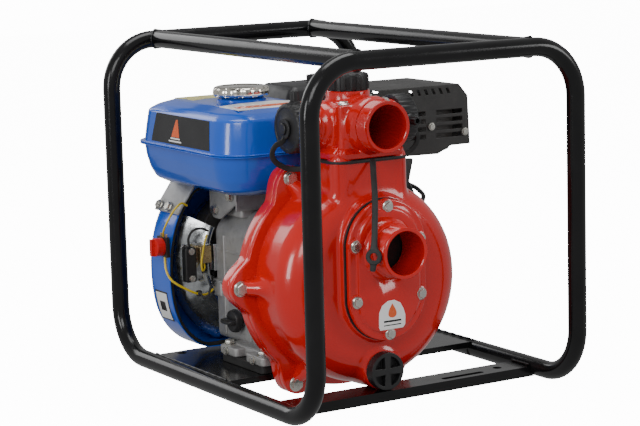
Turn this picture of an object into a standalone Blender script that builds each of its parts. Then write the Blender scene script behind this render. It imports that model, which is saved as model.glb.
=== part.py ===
"""Portable fire pump: an inclined petrol engine driving a cast self-priming pump in a tube frame.

Row frame: +Z up, -Y towards the suction port, -X towards the fuel tank.  The origin is on the
floor under the middle of the frame.  Sizes below are in millimetres and are scaled to metres
when a mesh is made.
"""
import math

import bmesh
import bpy
import numpy as np
from mathutils import Matrix, Vector

MM = 0.001
GAP = 0.3                     # clearance left between pieces that touch

# ---- tube frame ----
TUBE_R = 11.0
HALF_W = 181.0                # tube centre lines, across
HALF_L = 241.3                # tube centre lines, along
TUBE_LOW = TUBE_R             # the frame rests on the floor
TUBE_TOP = 408.5
BEND_R = 60.0
UPTURN = 3.0                  # straight length past each floor bend, where a hoop begins
RAIL_X = 116.6
TUBE_CLEAR = TUBE_R + 0.6     # radius of the saddle cut where sheet or tube meets a tube

# ---- shared shaft line of engine and pump ----
AXIS_X = -34.0
AXIS_Z = 137.0

# ---- pump casing ----
FLANGE_FRONT = -68.0
FLANGE_BACK = -60.0
FLANGE_R = 133.0
BOLT_CIRCLE = 142.0
EAR_TIP = 154.0
BOLT_COUNT = 6
CASING_R = 121.0
CASING_FRONT = -146.0
CASING_WALL = 7.0
SHOULDER_R = 37.0
NECK_HALF_X = 50.0
NECK_FRONT = -138.0
NECK_BACK = -70.0
NECK_TOP = 283.7

# ---- suction side ----
COVER_LOBE_R = 53.0           # the oblong suction cover: two half circles and two straights
COVER_LOW_Z = 125.6
COVER_HIGH_Z = 187.0
BOSS_FACE = -154.0
COVER_BACK = -156.6
COVER_FACE = -164.6
SUCTION_Z = 181.0
SUCTION_LIP = -203.0
PORT_R = 29.8                 # two inch pipe thread, outside
PORT_BORE = 25.5

# ---- discharge head ----
HEAD_BOTTOM = 284.0
HEAD_TOP = 346.0
OUTLET_Y = -83.0
OUTLET_Z = 320.5
OUTLET_R = 23.9               # one and a half inch pipe thread, outside
OUTLET_BORE = 19.5
OUTLET_END = 72.0             # from the shaft line's plane to the outlet's lip
DISCHARGE_Z = 323.0
DISCHARGE_LIP = -171.0
FILLER_Y = -86.0
FILLER_R = 25.0
CAP_R = 29.3
CAP_END = 83.6
CAP_DEPTH = 22.6
LUG_REACH = 43.0              # how far a cap's lug stands out from the cap's axis

# ---- drain ----
DRAIN_Z = 35.5
DRAIN_FACE = -160.0
DRAIN_R = 22.3
DRAIN_BOSS_FACE = -147.0

# ---- engine ----
PTO_FACE = -38.0
BLOCK_FRONT = -19.0
BLOCK_BACK = 118.0
BLOCK_LEFT = -106.0
BLOCK_RIGHT = 34.0
BASE_Z = 31.0
BLOCK_TOP = 205.0
BORE_R = 34.0
BORE_Y = 45.0
TILT = math.radians(25.0)     # the cylinder leans this far above level
FAN_FRONT = 130.0
FAN_BACK = 190.0
FAN_R = 131.0
FLYWHEEL_R = 88.0

# ---- fuel tank ----
TANK_X = (-170.0, -4.0)
TANK_Y = (-38.0, 208.0)
TANK_CORNER = 40.0
TANK_SEAM = 286.0
SHEET = 1.6
FUEL_CAP = (-84.0, 80.0)

# ---- a point on the axis of each piece that moves ----
PIVOTS = {
    "crankshaft": (AXIS_X, 0.0, AXIS_Z),
    "flywheel": (AXIS_X, 0.0, AXIS_Z),
    "impeller": (AXIS_X, 0.0, AXIS_Z),
    "check_valve_flap": (AXIS_X, -152.0, SUCTION_Z + 29),
    "drain_plug": (AXIS_X, DRAIN_BOSS_FACE, DRAIN_Z),
    "filler_cap": (AXIS_X, FILLER_Y, 360.0),
    "left_outlet_cap": (AXIS_X - OUTLET_END, OUTLET_Y, OUTLET_Z),
    "right_outlet_cap": (AXIS_X + OUTLET_END, OUTLET_Y, OUTLET_Z),
    "fuel_cap": (*FUEL_CAP, 344.0),
    "starter_grip": (AXIS_X + 47, 212.0, AXIS_Z + 40),
    "switch_knob": (-170.0, 140.0, 158.5),
    "left_oil_cap": (BLOCK_LEFT, 61.0, 70.0),
    "right_oil_cap": (BLOCK_RIGHT, 61.0, 70.0),
    "throttle_lever": (70.0, FAN_BACK, 205.0),
    "choke_lever": (100.0, 110.0, 232.0),
    "fuel_tap_lever": (100.0, 104.0, 214.0),
}

FINISHES = {
    "red_paint": ((0.75, 0.03, 0.015), 0.25, 0.0),
    "blue_paint": ((0.03, 0.19, 0.72), 0.3, 0.0),
    "black_paint": ((0.012, 0.012, 0.013), 0.35, 0.0),
    "shield_paint": ((0.05, 0.048, 0.046), 0.65, 0.0),
    "black_plastic": ((0.015, 0.015, 0.016), 0.55, 0.0),
    "black_rubber": ((0.02, 0.02, 0.02), 0.8, 0.0),
    "red_plastic": ((0.7, 0.02, 0.02), 0.4, 0.0),
    "cast_aluminium": ((0.62, 0.62, 0.61), 0.5, 0.9),
    "cast_iron": ((0.2, 0.2, 0.2), 0.6, 0.9),
    "zinc_steel": ((0.75, 0.76, 0.74), 0.3, 1.0),
    "chrome": ((0.85, 0.84, 0.8), 0.1, 1.0),
    "yellow_pvc": ((0.85, 0.65, 0.05), 0.4, 0.0),
}


# ---------------------------------------------------------------- helpers

def finish_material(name):
    """The Principled material of one finish, made once."""
    found = bpy.data.materials.get(name)
    if found:
        return found
    colour, roughness, metallic = FINISHES[name]
    made = bpy.data.materials.new(name)
    made.use_nodes = True
    shader = made.node_tree.nodes["Principled BSDF"]
    shader.inputs["Base Color"].default_value = (*colour, 1.0)
    shader.inputs["Roughness"].default_value = roughness
    shader.inputs["Metallic"].default_value = metallic
    return made


def add_object(name, data, finish):
    """Link an object; with no finish it is a cutter or a guide, which isn't part of the pump."""
    made = bpy.data.objects.new(name, data)
    bpy.context.scene.collection.objects.link(made)
    if finish is None:
        made.hide_render = True
        made.display_type = "WIRE"
    else:
        data.materials.append(finish_material(finish))
    return made


def mesh_from(name, verts, faces, finish):
    """A mesh object from millimetre points, with its faces turned outwards."""
    data = bpy.data.meshes.new(name)
    data.from_pydata([tuple(MM * c for c in v) for v in verts], [], faces)
    work = bmesh.new()
    work.from_mesh(data)
    bmesh.ops.recalc_face_normals(work, faces=work.faces)
    work.to_mesh(data)
    work.free()
    data.shade_smooth()
    data.set_sharp_from_angle(angle=math.radians(32))
    return add_object(name, data, finish)


def loft(name, rings, finish=None, closed=False):
    """Skin rings of equal count; the ends are capped, or joined to each other when closed.

    A ring of one point is a pole.
    """
    verts = []
    starts = []
    for ring in rings:
        starts.append(len(verts))
        verts.extend(ring)
    faces = []
    pairs = list(zip(range(len(rings) - 1), range(1, len(rings))))
    if closed:
        pairs.append((len(rings) - 1, 0))
    for low, high in pairs:
        count = max(len(rings[low]), len(rings[high]))
        for i in range(count):
            j = (i + 1) % count
            corners = []
            for ring, steps in ((low, (i, j)), (high, (j, i))):
                if len(rings[ring]) == 1:
                    corners.append(starts[ring])
                else:
                    corners.extend(starts[ring] + step for step in steps)
            faces.append(corners)
    if not closed:
        for index in (0, len(rings) - 1):
            if len(rings[index]) > 1:
                faces.append([starts[index] + i for i in range(len(rings[index]))])
    return mesh_from(name, verts, faces, finish)


def axes_for(direction):
    """Two unit vectors across a direction, for circles round it."""
    along = Vector(direction).normalized()
    side = Vector((0, 0, 1)) if abs(along.z) < 0.9 else Vector((1, 0, 0))
    first = along.cross(side).normalized()
    return along, first, along.cross(first)


def circle_points(centre, first, second, radius, sides):
    """Points of a circle in millimetres."""
    if radius < 1e-6:
        return [tuple(centre)]
    turns = [2 * math.pi * (i + 0.5) / sides for i in range(sides)]
    return [tuple(Vector(centre) + radius * (math.cos(t) * first + math.sin(t) * second)) for t in turns]


def lathe(name, profile, origin, direction, sides, finish=None, closed=False):
    """Turn a profile of (radius, distance along the axis) round an axis through origin."""
    along, first, second = axes_for(direction)
    rings = [circle_points(Vector(origin) + s * along, first, second, r, sides) for r, s in profile]
    return loft(name, rings, finish, closed)


def turned(name, profile, sides, finish=None, closed=False):
    """A lathe on the shaft line; the profile's second value is the row's Y."""
    return lathe(name, profile, (AXIS_X, 0, AXIS_Z), (0, 1, 0), sides, finish, closed)


def rod(name, start, end, radius, sides=16, finish=None):
    """A plain round bar between two points."""
    length = (Vector(end) - Vector(start)).length
    return lathe(name, [(radius, 0), (radius, length)], start, Vector(end) - Vector(start), sides, finish)


def on_plane(axis, level, a, b):
    """A point from its level on one axis and its two other values, in x, y, z order."""
    return {"X": (level, a, b), "Y": (a, level, b), "Z": (a, b, level)}[axis]


def prism(name, outline, axis, low, high, finish=None):
    """Carry an outline of (a, b) points along an axis."""
    rings = [[on_plane(axis, level, a, b) for a, b in outline] for level in (low, high)]
    return loft(name, rings, finish)


def box(name, low, high, finish=None):
    """A block between two corners."""
    outline = [(low[0], low[1]), (high[0], low[1]), (high[0], high[1]), (low[0], high[1])]
    return prism(name, outline, "Z", low[2], high[2], finish)


def arc(centre, radius, start, end, steps):
    """Points of an arc in a plane; angles in degrees."""
    turns = [math.radians(start + (end - start) * i / steps) for i in range(steps + 1)]
    return [(centre[0] + radius * math.cos(t), centre[1] + radius * math.sin(t)) for t in turns]


def rounded_rectangle(low, high, radius, steps=4):
    """Outline of a rectangle with round corners."""
    corners = [
        ((high[0] - radius, high[1] - radius), 0),
        ((low[0] + radius, high[1] - radius), 90),
        ((low[0] + radius, low[1] + radius), 180),
        ((high[0] - radius, low[1] + radius), 270),
    ]
    points = []
    for centre, start in corners:
        points.extend(arc(centre, radius, start, start + 90, steps))
    return points


def oblong(radius, low_z, high_z, steps=9):
    """Outline of two half circles joined by straight sides, on the shaft line's plane."""
    top = arc((AXIS_X, high_z), radius, 0, 180, steps)
    bottom = arc((AXIS_X, low_z), radius, 180, 360, steps)
    return top + bottom


def combine(target, tool, operation):
    """Join a hidden tool to a target, or cut it away."""
    change = target.modifiers.new(operation.title() + " " + tool.name, "BOOLEAN")
    change.operation = operation
    change.solver = "EXACT"
    change.object = tool


def join(target, *tools):
    for tool in tools:
        combine(target, tool, "UNION")


def cut(target, *tools):
    for tool in tools:
        combine(target, tool, "DIFFERENCE")


def tube(name, points, radius, finish, resolution):
    """A round tube on a polyline, as a bevelled curve with filled ends."""
    data = bpy.data.curves.new(name, "CURVE")
    data.dimensions = "3D"
    data.bevel_depth = radius * MM
    data.bevel_resolution = resolution
    data.use_fill_caps = True
    line = data.splines.new("POLY")
    line.points.add(len(points) - 1)
    for spot, place in zip(line.points, points):
        spot.co = (*(MM * c for c in place), 1.0)
    line.use_smooth = True
    return add_object(name, data, finish)


def smooth_route(knots, count):
    """A Catmull-Rom curve through knots, read at evenly numbered steps."""
    padded = [2 * Vector(knots[0]) - Vector(knots[1]), *map(Vector, knots)]
    padded.append(2 * Vector(knots[-1]) - Vector(knots[-2]))
    route = []
    for step in np.linspace(0, len(knots) - 1, count):
        index = min(int(step), len(knots) - 2)
        t = step - index
        a, b, c, d = padded[index:index + 4]
        route.append(0.5 * (2 * b + (c - a) * t + (2 * a - 5 * b + 4 * c - d) * t * t
                            + (3 * b - a - 3 * c + d) * t ** 3))
    return route


def strap(name, route, half_width, thickness, across, finish):
    """A flat band on a route, its width kept along one direction as far as the route lets it."""
    rings = []
    for index, place in enumerate(route):
        before = route[max(index - 1, 0)]
        after = route[min(index + 1, len(route) - 1)]
        along = (Vector(after) - Vector(before)).normalized()
        level = Vector(across)
        wide = (level - level.dot(along) * along).normalized() * half_width
        thick = wide.normalized().cross(along) * thickness / 2
        centre = Vector(place)
        rings.append([tuple(centre + a * wide + b * thick) for a, b in ((1, 1), (-1, 1), (-1, -1), (1, -1))])
    return loft(name, rings, finish)


# ---------------------------------------------------------------- frame and base

def frame_tubes():
    """One bent tube in four members: two hoops, and two floor tubes that turn up at their ends."""
    for name, y in (("front_hoop", -HALF_L), ("back_hoop", HALF_L)):
        reach = HALF_W - BEND_R
        left = arc((-reach, TUBE_TOP - BEND_R), BEND_R, 180, 90, 6)
        right = arc((reach, TUBE_TOP - BEND_R), BEND_R, 90, 0, 6)
        foot = TUBE_LOW + BEND_R + UPTURN + GAP
        outline = [(-HALF_W, foot), *left, *right, (HALF_W, foot)]
        tube(name, [(x, y, z) for x, z in outline], TUBE_R, "black_paint", 4)
    for name, x in (("left_base_tube", -HALF_W), ("right_base_tube", HALF_W)):
        reach = HALF_L - BEND_R
        front = arc((-reach, TUBE_LOW + BEND_R), BEND_R, 180, 270, 6)
        back = arc((reach, TUBE_LOW + BEND_R), BEND_R, 270, 360, 6)
        tip = TUBE_LOW + BEND_R + UPTURN
        outline = [(-HALF_L, tip), *front, *back, (HALF_L, tip)]
        tube(name, [(x, y, z) for y, z in outline], TUBE_R, "black_paint", 4)


def top_rails():
    """Straight rails between the hoops, their ends saddled to the cross tubes."""
    saddles = []
    for name, y in (("front_saddle", -HALF_L), ("back_saddle", HALF_L)):
        saddles.append(rod(name, (-160, y, TUBE_TOP), (160, y, TUBE_TOP), TUBE_CLEAR, 24))
    for name, x in (("left_top_rail", -RAIL_X), ("right_top_rail", RAIL_X)):
        rail = rod(name, (x, -HALF_L, TUBE_TOP), (x, HALF_L, TUBE_TOP), TUBE_R, 16, "black_paint")
        cut(rail, *saddles)


def base_sheets():
    """The pump's channel and the engine's tray, both let in between the floor tubes."""
    coves = []
    for name, x in (("left_cove", -HALF_W), ("right_cove", HALF_W)):
        coves.append(rod(name, (x, -172, TUBE_LOW), (x, 172, TUBE_LOW), TUBE_CLEAR, 24))
    folded = {
        "front_cross_channel": (-163.0, -125.0, 0.6, 13.0),
        "rear_base_plate": (-34.0, 150.0, 13.5, 21.0),
    }
    sheets = {}
    for name, (front, back, low, high) in folded.items():
        wall = 3.0
        section = [
            (front, low), (front, high), (back, high), (back, low),
            (back - wall, low), (back - wall, high - wall), (front + wall, high - wall), (front + wall, low),
        ]
        sheets[name] = prism(name, section, "X", -176, 176, "black_paint")
        cut(sheets[name], *coves)
    slot = prism("channel_slot", rounded_rectangle((48, -155), (108, -147), 3.9), "Z", 5, 20)
    cut(sheets["front_cross_channel"], slot)
    for x in (-134, 134):
        hole = rod("channel_hole", (x, -144, 5), (x, -144, 20), 5.5)
        cut(sheets["front_cross_channel"], hole)
    for x in (-149, 149):
        hole = rod("tray_hole", (x, 137, 5), (x, 137, 30), 6.0)
        cut(sheets["rear_base_plate"], hole)
    for name, x in (("left_rubber_mount", -115.0), ("right_rubber_mount", 47.0)):
        pad = rounded_rectangle((x - 14, -30), (x + 14, 70), 5, 3)
        prism(name, pad, "Z", 21 + GAP, BASE_Z - GAP, "black_rubber")


# ---------------------------------------------------------------- pump

def lobed_ring(name, inner_radius, low, high, finish=None):
    """A flange ring that swells smoothly into an ear at each bolt."""
    turns = []
    for sector in range(BOLT_COUNT):
        turns.extend(math.radians(60 * sector + step) for step in (-15, -9, -4, 4, 9, 15, 26, 34))
    outer = []
    inner = []
    for turn in turns:
        off = abs((math.degrees(turn) + 30) % 60 - 30)
        swell = math.cos(math.radians(min(off / 15 * 90, 90))) ** 1.5
        radius = FLANGE_R + (EAR_TIP - FLANGE_R) * swell
        direction = np.array([math.cos(turn), math.sin(turn)])
        outer.append(tuple(np.array([AXIS_X, AXIS_Z]) + radius * direction))
        inner.append(tuple(np.array([AXIS_X, AXIS_Z]) + inner_radius * direction))
    rings = []
    for outline, level in ((outer, low), (outer, high), (inner, high), (inner, low)):
        rings.append([(x, level, z) for x, z in outline])
    return loft(name, rings, finish, closed=True)


def bolt_places():
    """Centres of the flange bolts, as x and z."""
    for index in range(BOLT_COUNT):
        turn = math.radians(60 * index)
        yield AXIS_X + BOLT_CIRCLE * math.cos(turn), AXIS_Z + BOLT_CIRCLE * math.sin(turn)


def bolt_holes():
    """Clearance holes for the flange bolts, one cutter for each."""
    return [rod("flange_hole", (x, -90, z), (x, 0, z), 4.6, 10) for x, z in bolt_places()]


def casing_profile(wall):
    """Half section of the casing's dome from the front pole to its open back."""
    radius = CASING_R - wall
    shoulder = SHOULDER_R - wall
    front = CASING_FRONT + wall
    bend = arc((radius - shoulder, front + shoulder), shoulder, -90, 0, 4)
    return [(0, front)] + bend


def pump_casing(holes):
    """The pump's main casting: dome, flange, neck, suction boss and drain boss."""
    outside = casing_profile(0) + [(CASING_R, FLANGE_BACK - 2), (0, FLANGE_BACK - 2)]
    inside = casing_profile(CASING_WALL) + [(CASING_R - CASING_WALL, FLANGE_BACK)]
    casing = turned("pump_casing", outside, 32, "red_paint")
    flange = lobed_ring("casing_flange", CASING_R - 14, FLANGE_FRONT, FLANGE_BACK)
    neck_low = (AXIS_X - NECK_HALF_X, NECK_FRONT)
    neck_high = (AXIS_X + NECK_HALF_X, NECK_BACK)
    neck = prism("casing_neck", rounded_rectangle(neck_low, neck_high, 16), "Z", 205, NECK_TOP)
    suction_boss = prism("suction_boss", oblong(COVER_LOBE_R + 0.6, COVER_LOW_Z, COVER_HIGH_Z), "Y",
                         BOSS_FACE, CASING_FRONT + 4)
    boss_outline = arc((AXIS_X, DRAIN_Z), DRAIN_R + 1.2, -30, 210, 12)
    boss_outline += [(AXIS_X - 21, 13 + GAP), (AXIS_X + 21, 13 + GAP)]
    drain_boss = prism("drain_boss", boss_outline, "Y", DRAIN_BOSS_FACE, -100)
    join(casing, flange, neck, suction_boss, drain_boss)
    hollow = turned("casing_hollow", inside + [(CASING_R - CASING_WALL, -50), (0, -50)], 32)
    neck_bore = rod("neck_bore", (AXIS_X, -103, 200), (AXIS_X, -103, 300), 27, 16)
    drain_bore = rod("drain_bore", (AXIS_X, -170, DRAIN_Z), (AXIS_X, -120, DRAIN_Z), 15.5, 16)
    mouth = prism("suction_mouth", oblong(33, 137, 182, 8), "Y", -165, -130)
    cut(casing, hollow, neck_bore, drain_bore, mouth, *holes)


def back_cover(holes):
    """The adapter that closes the pump and bolts it to the engine."""
    section = [
        (24, FLANGE_BACK + GAP), (131, FLANGE_BACK + GAP), (131, -40), (124, -40), (124, -51),
        (72, -51), (60, PTO_FACE - GAP), (24, PTO_FACE - GAP),
    ]
    cover = turned("pump_back_cover", section, 28, "red_paint", closed=True)
    join(cover, lobed_ring("adapter_flange", 126, FLANGE_BACK + GAP, -44))
    cut(cover, *holes)


def flange_bolts():
    """Flanged hexagon bolts with their shanks through both flanges."""
    for index, (x, z) in enumerate(bolt_places()):
        head = [(0, -74.5), (7.2, -74.5), (7.2, -70), (9.5, -69.4), (9.5, FLANGE_FRONT - GAP)]
        shank = [(4.0, FLANGE_FRONT - GAP), (4.0, -36), (0, -36)]
        lathe(f"flange_bolt_{index + 1}", head + shank, (x, 0, z), (0, 1, 0), 8, "zinc_steel")


def pump_internals():
    """Volute, impeller and shaft seal, on the shaft line."""
    section = [
        (29, -117), (34, -117), (36, -111), (97, -107), (97, FLANGE_BACK - GAP), (91, FLANGE_BACK - GAP),
        (91, -101), (29, -105),
    ]
    volute = turned("volute", section, 22, "cast_iron", closed=True)
    cut(volute, box("volute_throat", (AXIS_X + 20, -98, AXIS_Z + 60), (AXIS_X + 60, -66, AXIS_Z + 110)))
    wheel_section = [
        (10.3, -99), (17, -99), (20, -83), (70, -80), (70, -76.5), (18, -76), (16, -70), (10.3, -70),
    ]
    wheel = turned("impeller", wheel_section, 20, "cast_iron", closed=True)
    for index in range(5):
        spiral = []
        for offset in (0.0, 0.11):
            leg = []
            for step in range(5):
                radius = 22 + 46 * step / 4
                turn = 2 * math.pi * index / 5 + offset + 1.1 * step / 4
                leg.append((AXIS_X + radius * math.cos(turn), AXIS_Z + radius * math.sin(turn)))
            spiral.append(leg)
        outline = spiral[0] + spiral[1][::-1]
        join(wheel, prism(f"vane_{index + 1}", outline, "Y", -94, -78))
    seal_section = [(10.8, -68), (20, -68), (23.4, -59), (23.4, -45), (10.8, -45)]
    turned("shaft_seal", seal_section, 18, "black_rubber", closed=True)


def suction_side():
    """Suction cover with its threaded port, the gasket behind it, and the check-valve flap."""
    outline = oblong(COVER_LOBE_R, COVER_LOW_Z, COVER_HIGH_Z)
    cover = prism("suction_cover", outline, "Y", COVER_FACE, COVER_BACK, "red_paint")
    centre = (AXIS_X, 0, SUCTION_Z)
    port = [(0, SUCTION_LIP), (PORT_R, SUCTION_LIP), (PORT_R, -172), (34, -168), (34, -160), (0, -160)]
    port_body = lathe("suction_port", port, centre, (0, 1, 0), 32)
    dome = prism("cover_dome", oblong(41, COVER_LOW_Z, COVER_HIGH_Z), "Y", -168, -160)
    join(cover, dome, port_body)
    cut(cover, rod("suction_bore", (AXIS_X, -210, SUCTION_Z), (AXIS_X, -150, SUCTION_Z), PORT_BORE, 24))
    ring = []
    for radius, level in ((52.5, COVER_BACK + GAP), (52.5, BOSS_FACE - GAP), (37, BOSS_FACE - GAP),
                          (37, COVER_BACK + GAP)):
        ring.append([(x, level, z) for x, z in oblong(radius, COVER_LOW_Z, COVER_HIGH_Z, 8)])
    loft("suction_gasket", ring, "black_rubber", closed=True)
    disc = [(0, -153.5), (28, -153.5), (28, -150.5), (0, -150.5)]
    flap = lathe("check_valve_flap", disc, centre, (0, 1, 0), 20, "black_rubber")
    hinge = Vector(PIVOTS["check_valve_flap"])
    pin = rod("flap_pin", hinge - Vector((10, 0, 0)), hinge + Vector((10, 0, 0)), 2.2, 8)
    join(flap, pin)


def discharge_head():
    """Three-way head with a front port, two side outlets and the priming filler."""
    low = (AXIS_X - NECK_HALF_X, NECK_FRONT)
    high = (AXIS_X + NECK_HALF_X, NECK_BACK + 8)
    outline = rounded_rectangle(low, high, 16)
    head = prism("discharge_head", outline, "Z", HEAD_BOTTOM, HEAD_BOTTOM + 9, "red_paint")
    barrel = lathe("head_barrel", [(40, HEAD_BOTTOM + 2), (40, 330), (34, 341), (FILLER_R, HEAD_TOP),
                                   (FILLER_R, 347)], (AXIS_X, -94, 0), (0, 0, 1), 24)
    collar = rod("filler_collar", (AXIS_X, FILLER_Y, 330), (AXIS_X, FILLER_Y, 360), FILLER_R + 1, 24)
    front = lathe("front_port", [(33, -100), (33, -143), (PORT_R, -147), (PORT_R, DISCHARGE_LIP)],
                  (AXIS_X, 0, DISCHARGE_Z), (0, 1, 0), 24)
    sides = lathe("side_outlets", [(OUTLET_R, -OUTLET_END), (OUTLET_R, -48), (29, -44), (29, 44),
                                   (OUTLET_R, 48), (OUTLET_R, OUTLET_END)],
                  (AXIS_X, OUTLET_Y, OUTLET_Z), (1, 0, 0), 20)
    join(head, barrel, collar, front, sides)
    for index, (x, y) in enumerate(((-61.5, -121), (-6.5, -121), (-68, -76), (0, -76))):
        join(head, rod(f"head_boss_{index + 1}", (x, y, HEAD_BOTTOM + 3), (x, y, HEAD_TOP + 1), 10.5, 10))
    main_bore = rod("head_bore", (AXIS_X, -98, 270), (AXIS_X, -98, 334), 27, 16)
    filler_bore = rod("filler_bore", (AXIS_X, FILLER_Y, 300), (AXIS_X, FILLER_Y, 380), 17, 16)
    front_bore = rod("front_bore", (AXIS_X, -98, DISCHARGE_Z), (AXIS_X, -190, DISCHARGE_Z), PORT_BORE, 24)
    cross_bore = rod("cross_bore", (AXIS_X - 100, OUTLET_Y, OUTLET_Z), (AXIS_X + 100, OUTLET_Y, OUTLET_Z),
                     OUTLET_BORE, 16)
    cut(head, main_bore, filler_bore, front_bore, cross_bore)


def pockets(name, centre, direction, depth, radius):
    """Four quarter pockets that leave a raised cross in a plug's face."""
    along, first, second = axes_for(direction)
    made = []
    half = math.pi / 2
    for quarter in range(4):
        points = []
        for step in range(5):
            turn = half * quarter + half * (0.16 + 0.68 * step / 4)
            points.append(Vector(centre) + radius * (math.cos(turn) * first + math.sin(turn) * second))
        middle = half * (quarter + 0.5)
        points.append(Vector(centre) + 5.0 * (math.cos(middle) * first + math.sin(middle) * second))
        rings = [[tuple(p + level * along) for p in points] for level in (-depth, 20)]
        made.append(loft(f"{name}_pocket_{quarter + 1}", rings))
    return made


def plugs_and_caps():
    """Filler plug, drain plug and the two outlet caps."""
    filler = lathe("filler_cap", [(0, 352), (15.8, 352), (15.8, 360 + GAP), (24.5, 360 + GAP), (24.5, 379),
                                  (23, 381), (0, 381)], (AXIS_X, FILLER_Y, 0), (0, 0, 1), 24, "black_plastic")
    cut(filler, *pockets("filler", (AXIS_X, FILLER_Y, 381), (0, 0, 1), 9, 19))
    drain = lathe("drain_plug", [(0, DRAIN_FACE), (DRAIN_R, DRAIN_FACE), (DRAIN_R, DRAIN_BOSS_FACE - GAP),
                                 (14.5, DRAIN_BOSS_FACE - GAP), (14.5, -138), (0, -138)],
                  (AXIS_X, 0, DRAIN_Z), (0, 1, 0), 24, "black_plastic")
    cut(drain, *pockets("drain", (AXIS_X, DRAIN_FACE, DRAIN_Z), (0, -1, 0), 8, 18))
    inner = CAP_END - CAP_DEPTH
    for name, side, lug in (("left_outlet_cap", -1, (0, 0, 1)), ("right_outlet_cap", 1, (0, -1, 0))):
        section = [(0, CAP_END), (CAP_R - 1.5, CAP_END), (CAP_R, CAP_END - 2), (CAP_R, inner),
                   (OUTLET_R + 0.6, inner), (OUTLET_R + 0.6, CAP_END - 5), (0, CAP_END - 5)]
        centre = Vector((AXIS_X, OUTLET_Y, OUTLET_Z))
        cap = lathe(name, section, centre, (side, 0, 0), 24, "black_plastic")
        middle = centre + Vector((side * (inner + 10), 0, 0))
        join(cap, rod(name + "_lug", middle + 26 * Vector(lug), middle + LUG_REACH * Vector(lug), 4.8, 12))


def tethers():
    """Rubber straps that keep the outlet caps with the pump; the front cap's strap hangs free."""
    ring = []
    for grow, level in ((0.5, 279.5), (0.5, 283.4), (2.6, 283.4), (2.6, 279.5)):
        low = (AXIS_X - NECK_HALF_X - grow, NECK_FRONT - grow)
        high = (AXIS_X + NECK_HALF_X + grow, NECK_BACK + grow)
        ring.append([(x, y, level) for x, y in rounded_rectangle(low, high, 16 + grow)])
    band = loft("front_cap_tether", ring, "black_rubber", closed=True)
    route = smooth_route([(-37, -140.3, 281), (-43, -152, 266), (-51, -166, 245), (-60, -179, 220),
                          (-67, -188, 199), (-70, -191.5, 186)], 10)
    strip = strap("hanging_strip", route, 3.6, 2.2, (1, -0.6, 0), None)
    facing = Vector((-0.7, -0.7, 0.1)).normalized()
    middle = Vector((-71, -192.4, 180))
    eye = rod("tether_eye", middle - 1.2 * facing, middle + 1.2 * facing, 9.3, 16)
    join(band, strip, eye)
    cut(band, rod("eye_hole", middle - 9 * facing, middle + 9 * facing, 4.3, 12))
    for name, side in (("left_cap_tether", -1), ("right_cap_tether", 1)):
        knots = [(85.2, OUTLET_Y, 322), (86.6, -82, 312), (97, -80, 304), (100.9, -79, 294), (97.9, -78, 285),
                 (88, -78, 276.5), (73, -80, 272), (61, -85, 271.5), (53.5, -89, 273.5)]
        route = smooth_route([(AXIS_X + side * x, y, z) for x, y, z in knots], 18)
        strap(name, route, 3.4, 2.2, (0, 1, 0), "black_rubber")


# ---------------------------------------------------------------- engine

def along_bore(distance, across, y):
    """A point from its distance along the cylinder's axis and its offset across it."""
    x = AXIS_X + distance * math.cos(TILT) - across * math.sin(TILT)
    z = AXIS_Z + distance * math.sin(TILT) + across * math.cos(TILT)
    return (x, y, z)


def bore_block(name, start, end, low, high, y_low, y_high, finish=None, corner=5.0):
    """A block with round edges, squared to the cylinder's axis."""
    outline = rounded_rectangle((low, y_low), (high, y_high), corner, 2)
    rings = [[along_bore(distance, a, y) for a, y in outline] for distance in (start, end)]
    return loft(name, rings, finish)


def crankcase():
    """Block and cylinder in one casting, hollow for the crank and the piston."""
    outline = [
        (BLOCK_LEFT, 40), (BLOCK_LEFT, 178), (BLOCK_LEFT + 22, BLOCK_TOP), (8, BLOCK_TOP),
        (BLOCK_RIGHT, 185), (BLOCK_RIGHT, 40),
    ]
    block = prism("crankcase", outline, "Y", BLOCK_FRONT, BLOCK_BACK, "cast_aluminium")
    feet = box("engine_feet", (-131, -34, BASE_Z), (63, 72, 42))
    barrel = bore_block("cylinder_barrel", 50, 118, -46, 46, 4, 92)
    join(block, feet, barrel)
    crank_room = turned("crank_room", [(58, -30), (58, 84)], 32)
    bearing = turned("rear_bearing_bore", [(16.5, 70), (16.5, 140)], 24)
    bore = rod("cylinder_bore", along_bore(20, 0, BORE_Y), along_bore(140, 0, BORE_Y), BORE_R, 28)
    cut(block, crank_room, bearing, bore)
    cover_outline = rounded_rectangle((BLOCK_LEFT + 2, 43), (BLOCK_RIGHT - 2, BLOCK_TOP - 16), 34, 4)
    cover = prism("crankcase_cover", cover_outline, "Y", PTO_FACE, BLOCK_FRONT - GAP, "cast_aluminium")
    cut(cover, turned("front_bearing_bore", [(16.5, -60), (16.5, 0)], 24))
    head = bore_block("cylinder_head", 118 + GAP, 152, -44, 44, 6, 90, "cast_aluminium")
    cut(head, rod("combustion_chamber", along_bore(100, 0, BORE_Y), along_bore(127, 0, BORE_Y), 30, 20))
    bore_block("rocker_cover", 152 + GAP, 178, -18, 42, 16, 80, "black_paint", 12.0)
    plug_start = along_bore(152 + GAP, -31, BORE_Y)
    plug_end = Vector(along_bore(196, -31, BORE_Y))
    lathe("spark_plug_cap", [(6, 0), (6, 8), (10, 9), (10, 30), (7, 44)], plug_start,
          plug_end - Vector(plug_start), 14, "black_rubber")


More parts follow.
